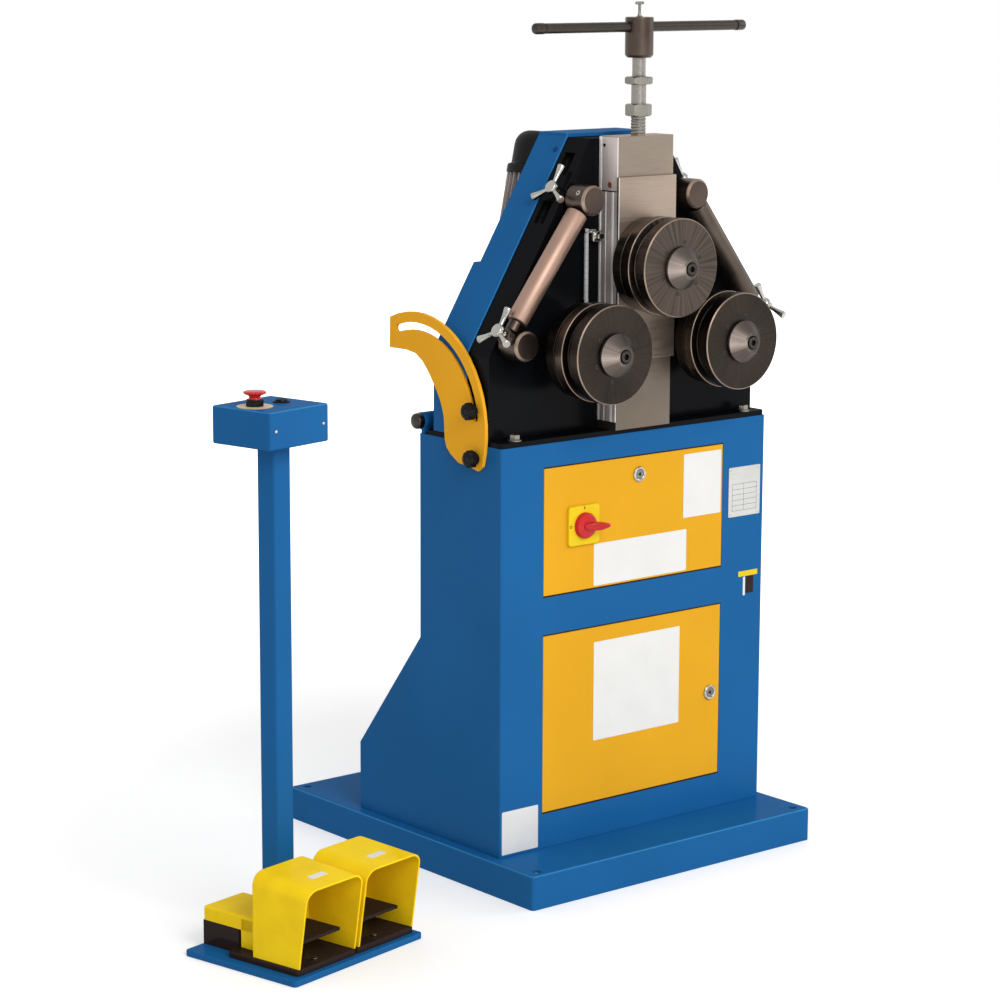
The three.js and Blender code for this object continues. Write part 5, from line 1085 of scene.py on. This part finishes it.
for side, name in ((-1, "left"), (1, "right")):
    piece(guide_bracket(side), name + "_guide_heads", name + "_guide",
          [head_steel, chrome, black_plastic, highlight_edge_steel], [name + "_guide_bracket"], smooth=30, even=True)
    # Painted shade: the right roller, shaded by the rolls, takes a darker copy of the roller steel.
    tube_steel = roller_steel if side < 0 else shaded_roller_steel
    roller = name + "_guide_roller"
    piece(guide_roller(side), name + "_roller_tube", roller, tube_steel, [roller])
    for level, centre, stud_tip in (
        ("lower", (side * BLOCK_REACH, GUIDE_Y, LOW_STATION), LOWER_STUD),
        ("upper", (0, UPPER_SEAT, HIGH_STATION), UPPER_STUD),
    ):
        node = name + "_" + level + "_clamp"
        piece(clamp_handle(side, centre, stud_tip), node + "_handle", node, chrome, [node])

# %% [markdown]
# ## Motor
#
# The motor stands on the reducer behind the cover, and both lean about the output shaft. Its cast frame
# has cooling fins all round, and the fan under the cowl blows air down over them through a round grille.

# %% Finned motor
DRIVE_AT, DRIVE_LEAN, MOTOR_FOOT, MOTOR_TOP = (0, 47, 862), 12, 75.3, 245
MOTOR_RADIUS, FIN_TIP, FINS, FAN_BLADES, COWL_TOP = 70, 82, 36, 9, 318
DRIVE = moved(*DRIVE_AT) @ rotated(DRIVE_LEAN, "Y")


def drive_motor():
    radius, tall = MOTOR_RADIUS, MOTOR_TOP - MOTOR_FOOT
    whole = turned([
        (0, 0), (79, 0), (80, 1), (80, 11), (79, 12), (72, 13), (radius, 16), (radius, tall - 0.6),
        (radius - 0.6, tall), (0, tall),
    ], steps=72)
    for count in range(FINS):
        fin = block((radius - 3, -1.3, 24), (FIN_TIP, 1.3, tall - 0.1))
        whole = joined(whole, place(fin, rotated(360 * count / FINS)))
    for angle in (45, 135, 225, 315):
        screw = socket_screw(5, 5, 2.8, Z, rotated(angle) @ Vector((74, 0, 11.6)))
        whole = joined(whole, tinted(screw, 1))
    return place(whole, DRIVE @ moved(0, 0, MOTOR_FOOT))


piece(drive_motor(), "drive_motor_finned", "head", [casting, nut_steel], ["drive_motor"], smooth=30)


def fan_cowl():
    """Its heights are measured from the grille down."""
    foot = MOTOR_TOP + 0.3 - COWL_TOP
    whole = turned([
        (71, foot), (83.4, foot), (84, foot + 0.6), (84, foot + 12), (83, foot + 13.6), (79.4, foot + 15.4),
        (78, foot + 17), (78, -26), (77.2, -18), (74.4, -11.4), (70.6, -6.4), (66, -2.8), (61, -0.6),
        (56, 0), (52, 0), (52, -2.4), (57, -2.8), (63, -5.4), (70, -12), (74.4, -22), (75, -27),
        (75, foot + 3), (71, foot + 3), (71, foot),
    ], steps=96)
    for inner in (18, 26.5, 35, 43.5):
        outer = inner + 2.4
        profile = [(inner, -2.2), (outer, -2.2), (outer, -0.4), (inner, -0.4), (inner, -2.2)]
        whole = joined(whole, turned(profile, steps=72))
    for angle in (0, 45, 90, 135):
        whole = joined(whole, place(block((-53, -1.3, -2.8), (53, 1.3, -1.4), 0.4, 1), rotated(angle)))
    whole = joined(whole, tinted(cylinder(14, -24, -10, chamfer=1), 1))
    for count in range(FAN_BLADES):
        blade = place(block((12, -0.9, -42), (66, 0.9, -14), 0.5, 1), rotated(360 * count / FAN_BLADES))
        whole = joined(whole, tinted(blade, 1))
    return place(whole, DRIVE @ moved(0, 0, COWL_TOP))


piece(fan_cowl(), "fan_cowl_grille", "head", [black_plastic, grey_plastic], ["motor_fan_cowl"], smooth=30)

# %% [markdown]
# The depth gauge is a pale rod with divisions every ten millimetres, held by two small clamps.

# %% Depth gauge
GAUGE_X, GAUGE_Y, GAUGE_ROD, HEAD_FACE = -92, -196, 4, -187.3


def depth_gauge():
    """Modelled round the foot of its rod."""
    low, high = span("depth_gauge")
    tall, face = high.z - low.z, HEAD_FACE - GAUGE_Y
    whole = cylinder(GAUGE_ROD - 0.4, 0, tall, chamfer=0.5, steps=32)
    for height in range(18, ceil(tall - 20), 10):
        band = cylinder(GAUGE_ROD - 0.3, height - 0.3, height + 0.3, chamfer=0.1, steps=32)
        whole = joined(whole, tinted(band, 4))
    foot = block((-4.4, -2, 0), (4.4, face, 6))
    arm = block((-4.6, -3.4, tall - 7), (18, 3.4, tall - 1), 1.0)
    grip = block((8, -8, tall - 21), (30, face, tall - 4), 2.0, 3)
    at = (19, 0, tall - 12.5)
    rim = turned([
        (0, -7), (6.6, -7), (7.4, -8), (7.4, -15), (6.6, -16), (5, -16), (5, -15), (0, -15),
    ], Y, at, 40)
    core = cylinder(4.8, -15.6, -14, Y, at, 0.4, 40)
    whole = joined(whole, tinted(foot, 2), tinted(arm, 2), tinted(grip, 2), tinted(rim, 3), tinted(core, 1))
    return place(whole, moved(GAUGE_X, GAUGE_Y, low.z))


piece(depth_gauge(), "depth_gauge_rod", "head", [rod_enamel, black_plastic, chrome, chrome, rod_mark],
      ["depth_gauge"])

# %% [markdown]
# ## Switchgear behind the panel
#
# It shows when the panel swings open: a mounting sheet with four contactors, a transformer and a row
# of terminals.

# %% Switchgear tray
TRAY_SHEET = 3


def switchgear():
    """Modelled on the front of its mounting sheet, from the sheet's lower left corner."""
    low, high = span("electrical_tray")
    width, tall = high.x - low.x, high.z - low.z
    parts = [block((0, 0, 0), (width, TRAY_SHEET, tall), 0.6)]
    for count in range(4):
        x, base = 14 + 52 * count, tall - 88
        parts.append(tinted(block((x, -60, base), (x + 44, 1, base + 74), 1.5), 1))
        parts.append(block((x + 5, -78, base + 16), (x + 39, -58, base + 58), 1.5))
        for at in [(x + right, -60, base + up) for up in (8, 66) for right in (9, 22, 35)]:
            parts.append(tinted(socket_screw(3.6, 1.2, 1.8, FRONT, at, 20), 2))
    right = width - 14
    parts.append(tinted(block((right - 84, -52, 14), (right, 1, 84), 1.2), 3))
    parts.append(tinted(block((right - 76, -66, 26), (right - 8, -4, 72), 4, 3), 4))
    for x in range(14, 194, 10):
        parts.append(block((x + 0.4, -34, 14), (x + 9.6, 1, 48)))
        for z in (21, 41):
            parts.append(tinted(socket_screw(3, 0.8, 1.5, FRONT, (x + 5, -34, z), 16), 2))
    return place(joined(*parts), moved(low.x, high.y - TRAY_SHEET, low.z))


piece(switchgear(), "switchgear", "root", [grey_plastic, black_plastic, chrome, hidden_steel, copper],
      ["electrical_tray"])

# %% [markdown]
# ## Pedestal
#
# The pedestal is a separate stand on the floor: a foot plate, a square tube, a control box with an
# emergency button and a start button, and two hooded pedals. All of it is turned a little towards
# the machine, so it is modelled upright about its own corner and then placed.

# %% Stand
PEDESTAL = moved(-796.5, -379, 0) @ rotated(12)
POST, POST_SIDE, POST_CORNER, BOX_FOOT, BOX_TOP = (150, 172), 36, 4, 765, 822


def stand():
    plate_outline = [(143 + u, 112 + v, 0) for u, v in rounded(286, 224, 6)]
    plate = soften(sheet(plate_outline, (0, 0, 10)), 1.8, 3, 60)
    half = POST_SIDE / 2
    tube = block((POST[0] - half, POST[1] - half, 9), (POST[0] + half, POST[1] + half, BOX_FOOT - 0.3), 0)
    bevel(tube, upright_edges(tube), POST_CORNER, 5)
    return place(joined(plate, tube), PEDESTAL)


piece(stand(), "pedestal_post", "root", blue_paint, ["pedestal_stand"], even=True)

# %% Control box
STOP_PLACE, START_PLACE = (111, 172), (168, 172)


def control_box():
    box = soften(block((81, 113.5, BOX_FOOT), (207, 230.5, BOX_TOP), 0), 3.2, 4, 60)
    # Painted highlight: the rounded top edges take the lighter blue.
    for face in box.faces:
        if 0.3 < face.normal.z < 0.95:
            face.material_index = 4
    pierce(box, BOX_TOP, (STOP_PLACE, START_PLACE), 11)
    for x in (93, 195):
        pan_head = [(2.9, 0), (2.9, 0.8), (2.5, 1.6), (1.45, 2.1), (0, 2.2)]
        box = joined(box, tinted(turned(pan_head, FRONT, (x, 113.6, BOX_FOOT + 28), 32), 3))
    collar = turned([
        (9.3, -2), (12.8, -2), (12.8, 9.6), (12, 11), (9.8, 11), (9.3, 10.5), (9.3, -2),
    ], Z, (*STOP_PLACE, BOX_TOP), 56)
    legend = turned([
        (12.9, 0), (27, 0), (27, 0.7), (26.6, 1), (12.9, 1), (12.9, 0),
    ], Z, (*STOP_PLACE, BOX_TOP), 72)
    ring = turned([
        (9.3, -2), (13, -2), (13, 1), (12.2, 1.8), (9.8, 1.8), (9.3, 1.3), (9.3, -2),
    ], Z, (*START_PLACE, BOX_TOP), 56)
    return place(joined(box, tinted(collar, 1), tinted(legend, 2), tinted(ring, 1)), PEDESTAL)


piece(control_box(), "control_box_moulded", "root",
      [blue_paint, black_plastic, legend_plastic, chrome, blue_edge_highlight], ["control_box"], even=True)

# %% Buttons
stop = turned([
    (0, 800), (9, 800), (9, 834), (8.2, 836), (9.4, 838.6), (15.6, 841), (16.9, 842.2), (17.2, 843.2),
    (16.6, 844.4), (14.6, 845.3), (8, 845.9), (0, 846),
], Z, (*STOP_PLACE, 0), 64)
piece(place(stop, PEDESTAL), "emergency_mushroom", "emergency_button", red_plastic, ["emergency_button"])
start = turned([
    (0, 800), (5, 800), (5, 816), (9, 817), (9, 825.6), (8.4, 826.6), (7.6, 826.8), (6.4, 826.3), (0, 826),
], Z, (*START_PLACE, 0), 56)
piece(place(start, PEDESTAL), "start_push", "start_button", black_plastic, ["start_button"])

# %% [markdown]
# The hoods are moulded shells that keep anything from falling on the pedals. Their front leans out,
# the top falls a little towards it, and a lower cap covers the switch behind. An arch drawn out along
# Y, sheared at the front and given a wall inwards has that shape.

# %% Pedal hoods
HOOD_HALF, HOOD_CORNER, HOOD_FOOT, HOOD_TOP, HOOD_RISE = 62, 22, 20.6, 150.3, 8
HOOD_FRONT, HOOD_LEAN, HOOD_BACK, HOOD_WALL, CAP_HALF = 10, 18, 104, 3, 43


def arch_outline(half, foot, top, corner, steps=8):
    points = [(-half, foot), (half, foot)]
    for centre, start in ((half - corner, 0), (corner - half, 90)):
        for step in range(steps + 1):
            turn = radians(start + 90 * step / steps)
            points.append((centre + corner * cos(turn), top - corner + corner * sin(turn)))
    return points


def hood(centre_x):
    outline = arch_outline(HOOD_HALF, HOOD_FOOT, HOOD_TOP, HOOD_CORNER)
    bm = sheet([(u, 0, v) for u, v in outline], (0, HOOD_BACK, 0))
    back_rim = lambda at: at.y > HOOD_BACK - 0.5 and at.z > HOOD_FOOT + 1
    soften(bm, 5, 5, 60, where=back_rim)
    openings = [f for f in bm.faces if f.normal.y < -0.9 or f.normal.z < -0.9]
    bmesh.ops.delete(bm, geom=openings, context="FACES")
    for vert in bm.verts:
        depth = vert.co.y / MM / HOOD_BACK
        rise = (vert.co.z / MM - HOOD_FOOT) / (HOOD_TOP - HOOD_FOOT)
        front = HOOD_FRONT - HOOD_LEAN * rise
        vert.co.y = (front + (HOOD_BACK - front) * depth) * MM
        vert.co.z -= HOOD_RISE * max(0, rise) ** 2 * (1 - depth) * MM
    bmesh.ops.solidify(bm, geom=bm.faces[:], thickness=HOOD_WALL * MM)
    face_out(bm)
    cap = block((-CAP_HALF, HOOD_BACK - 6, HOOD_FOOT), (CAP_HALF, 221, 70), 0)
    soften(cap, 4, 4, 60, where=lambda at: at.z > 60 or (at.y > 215 and at.z > 40))
    bmesh.ops.delete(cap, geom=[f for f in cap.faces if f.normal.z < -0.9], context="FACES")
    trimmed = bmesh.ops.bisect_plane(
        cap, geom=cap.verts[:] + cap.edges[:] + cap.faces[:], plane_co=Vector((0, 147.7, 48.3)) * MM,
        plane_no=(0, 0, -1), clear_outer=True,
    )
    bmesh.ops.solidify(cap, geom=cap.faces[:], thickness=HOOD_WALL * MM)
    neck = block((-CAP_HALF, HOOD_BACK - 4, HOOD_FOOT), (CAP_HALF, HOOD_BACK + 40, 67), 1.5)
    whole = joined(bm, cap, neck)
    return place(whole, PEDESTAL @ Matrix.Translation((centre_x * MM, 0, 0)))


def hood_label(centre_x):
    """A bare label that follows the slope of the hood's top."""
    fall = HOOD_RISE / (HOOD_BACK + HOOD_LEAN - HOOD_FRONT)
    outline = []
    for u, v in rounded(34, 12, 1.5, 4):
        y = 28.6 + v
        outline.append((centre_x + u, y, HOOD_TOP - fall * (HOOD_BACK - y) - 0.1))
    return place(sheet(outline, (0, 0, 0.6)), PEDESTAL)


for name, centre_x in (("left", 80.5), ("right", 211.5)):
    piece(hood(centre_x), name + "_hood_shell", "root", yellow_plastic, [name + "_pedal_hood"], even=True)
    piece(hood_label(centre_x), name + "_hood_label", "root", paper)
    softened_copy(name + "_pedal_base", "root", slab_plastic, 0.9)
    softened_copy(name + "_pedal", name + "_pedal", slab_plastic, 0.9)

# %% [markdown]
# ## Labels, screws and washers
#
# The machine carries plates that would be printed. Here they are bare, apart from an empty table on
# the aluminium one, which is also riveted.

# %% Bare label plates
def label(low, high, thick=0.5, corner=2.0, rivets=0.0):
    """A thin plate on a front face: corners in (x, z), with the face's y as third value."""
    (x0, z0), (x1, z1), face = low, high[:2], high[2]
    outline = [((x0 + x1) / 2 + u, face, (z0 + z1) / 2 + v) for u, v in rounded(x1 - x0, z1 - z0, corner, 4)]
    bm = sheet(outline, (0, -thick, 0))
    soften(bm, thick * 0.3, 1, 60)
    if rivets:
        for x in (x0 + 4, x1 - 4):
            for z in (z0 + 4, z1 - 4):
                head = turned([(rivets, 0), (rivets, 0.3), (rivets * 0.7, 0.8), (0, 1)], FRONT,
                              (x, face - thick, z), 24)
                bm = joined(bm, tinted(head, 1))
    return bm


SHELL_FACE, PANEL_FACE = -220.7, -220.4
piece(label((102, 562), (186, 668, PANEL_FACE)), "panel_plate_right", "electrical_panel", [paper])
piece(label((-92, 474), (110, 543, PANEL_FACE)), "panel_plate_left", "electrical_panel", [paper])
piece(label((-90, 217), (98, 381, PANEL_FACE)), "door_plate", "tool_door", [paper])
piece(label((-281, 60), (-206, 131, SHELL_FACE)), "base_note_plate", "root", [paper])
piece(label((230, 446), (274, 455, SHELL_FACE), corner=1), "side_note_bar", "root", [switch_plastic])
piece(label((241, 413), (246, 445, SHELL_FACE), corner=1), "side_note_strip", "root", [paper])
piece(label((247, 416), (265, 445, SHELL_FACE), corner=1), "side_note_field", "root", [slab_plastic])


def data_plate():
    x0, x1, z0, z1 = 204, 276, 550, 634
    bm = label((x0, z0), (x1, z1, SHELL_FACE), 0.8, 2.5, rivets=1.8)
    face = SHELL_FACE - 0.8
    for row in range(6):
        z = z0 + 10 + row * 9
        line = block((x0 + 8, face - 0.05, z), (x1 - 8, face + 0.2, z + 0.5), 0)
        bm = joined(bm, tinted(line, 2))
    for x in (x0 + 8, x0 + 34, x1 - 8.5):
        line = block((x, face - 0.05, z0 + 10), (x + 0.5, face + 0.2, z0 + 55.5), 0)
        bm = joined(bm, tinted(line, 2))
    return bm


piece(data_plate(), "data_plate", "root", [nameplate, chrome, oiled_steel])

# %% Hold-down bolts of the head and screws of the pedal slabs
HEAD_FOOT = 724.7


def hold_down(x, y):
    washer = turned([(5, 0), (12, 0), (12, 2), (11.5, 2.5), (5, 2.5)], Z, (x, y, HEAD_FOOT), 48)
    bolt = turned([(0, 2.5), (8.6, 2.5), (8.6, 9.6), (7.6, 10.5), (0, 10.5)], Z, (x, y, HEAD_FOOT), 6)
    return joined(washer, bolt)


bolts = hold_down(-247, -207)
piece(joined(bolts, hold_down(247, -207)), "hold_down_bolts", "head", nut_steel, smooth=25)
slab_screws = bmesh.new()
for x, y in ((69, 26), (203.4, 27)):
    slab_screws = joined(slab_screws, socket_screw(4.6, 2.6, 2.2, Z, (x, y, 20.2), 32))
piece(place(slab_screws, PEDESTAL), "slab_screws", "root", [nut_steel, black_plastic], smooth=25)

# %% [markdown]
# ## Studio
#
# The machine stands on a pale floor that runs out to white, under one large soft light from the front
# left, a weaker one from the right and an even sky. The camera, and what mirrors or glass show it, see
# floor and sky lifted to white, while the light that falls on the machine stays as it is.

# %% Floor
FLOOR_RADIUS, FLOOR_GLOW, GLOW_RANGE, SKY_LIGHT = 14, 0.33, (0.8, 2.6), 0.60


def shown_rays(owner):
    """One for camera, glossy and transmission rays, and nothing for the rays that light a surface."""
    path = add_node(owner, "LightPath", {})
    total = path.outputs["Is Camera Ray"]
    for name in ("Is Glossy Ray", "Is Transmission Ray"):
        inputs = {0: total, 1: path.outputs[name]}
        total = add_node(owner, "Math", inputs, operation="ADD", use_clamp=True).outputs[0]
    return total


def studio_floor():
    bm = bmesh.new()
    bmesh.ops.create_circle(bm, cap_ends=True, radius=FLOOR_RADIUS, segments=96)
    mesh = bpy.data.meshes.new("studio_floor")
    bm.to_mesh(mesh)
    bm.free()
    floor = bpy.data.objects.new("studio_floor", mesh)
    bpy.context.scene.collection.objects.link(floor)
    finish = new_finish("floor_finish", "floor", (0.80, 0.80, 0.80), 0.6)
    vary_colour(finish, noise(finish, 1.5, detail=3), 0.99, 1.01)
    distance = add_node(finish, "VectorMath", {0: coordinates(finish)}, operation="LENGTH")
    glow = ramp(finish, distance.outputs["Value"], FLOOR_GLOW, 1.0, *GLOW_RANGE)
    lit = add_node(finish, "Math", {0: glow, 1: shown_rays(finish)}, operation="MULTIPLY")
    fill(finish, shader_of(finish).inputs["Emission Color"], (1, 1, 1, 1))
    fill(finish, shader_of(finish).inputs["Emission Strength"], lit.outputs[0])
    mesh.materials.append(finish)


studio_floor()


# %% Lights and sky
def soft_light(name, place_at, look_at, size, power):
    data = bpy.data.lights.new(name, "AREA")
    data.shape = "DISK"
    data.size = size
    data.energy = power
    lamp = bpy.data.objects.new(name, data)
    lamp.matrix_world = Matrix.Translation(place_at) @ (
        (Vector(look_at) - Vector(place_at)).to_track_quat("-Z", "Y").to_matrix().to_4x4()
    )
    bpy.context.scene.collection.objects.link(lamp)


TARGET = (-0.1, 0, 0.65)
soft_light("key_light", (-1.3, -5.3, 3.7), TARGET, 3.6, 206)
soft_light("side_light", (4.4, -2.2, 2.6), TARGET, 3.0, 50)

sky = bpy.data.worlds.new("sky")
sky.use_nodes = True
bpy.context.scene.world = sky
background = sky.node_tree.nodes["Background"]
level = add_node(sky, "Mix", {2: SKY_LIGHT, 3: 1.0, "Factor": shown_rays(sky)})
fill(sky, background.inputs["Color"], (1, 1, 1, 1))
fill(sky, background.inputs["Strength"], level.outputs[0])

# %% [markdown]
# ## Camera
#
# The viewpoint was worked out from the reference picture: height, distance and lens follow from how
# the machine's known corners fall in it.

# %% Camera
YAW, PITCH, ROLL = radians(39.354), radians(10.591), radians(0.196)
CAMERA_AT, FOCAL_LENGTH, SENSOR, FAR_CLIP = (-3.1608, -3.7252, 1.4848), 106.68, 36, 60
lens = bpy.data.cameras.new("camera")
lens.lens, lens.sensor_width, lens.clip_end = FOCAL_LENGTH, SENSOR, FAR_CLIP
camera = bpy.data.objects.new("camera", lens)
forward = Vector((sin(YAW) * cos(PITCH), cos(YAW) * cos(PITCH), -sin(PITCH)))
right = Vector((cos(YAW), -sin(YAW), 0))
up = right.cross(forward)
right_rolled = cos(ROLL) * right + sin(ROLL) * up
up_rolled = -sin(ROLL) * right + cos(ROLL) * up
pose = Matrix((right_rolled, up_rolled, -forward)).transposed().to_4x4()
camera.matrix_world = Matrix.Translation(CAMERA_AT) @ pose
bpy.context.scene.collection.objects.link(camera)
bpy.context.scene.camera = camera
bpy.context.scene.view_settings.view_transform = "Standard"

# %% Finish
print("pieces:", len(made))
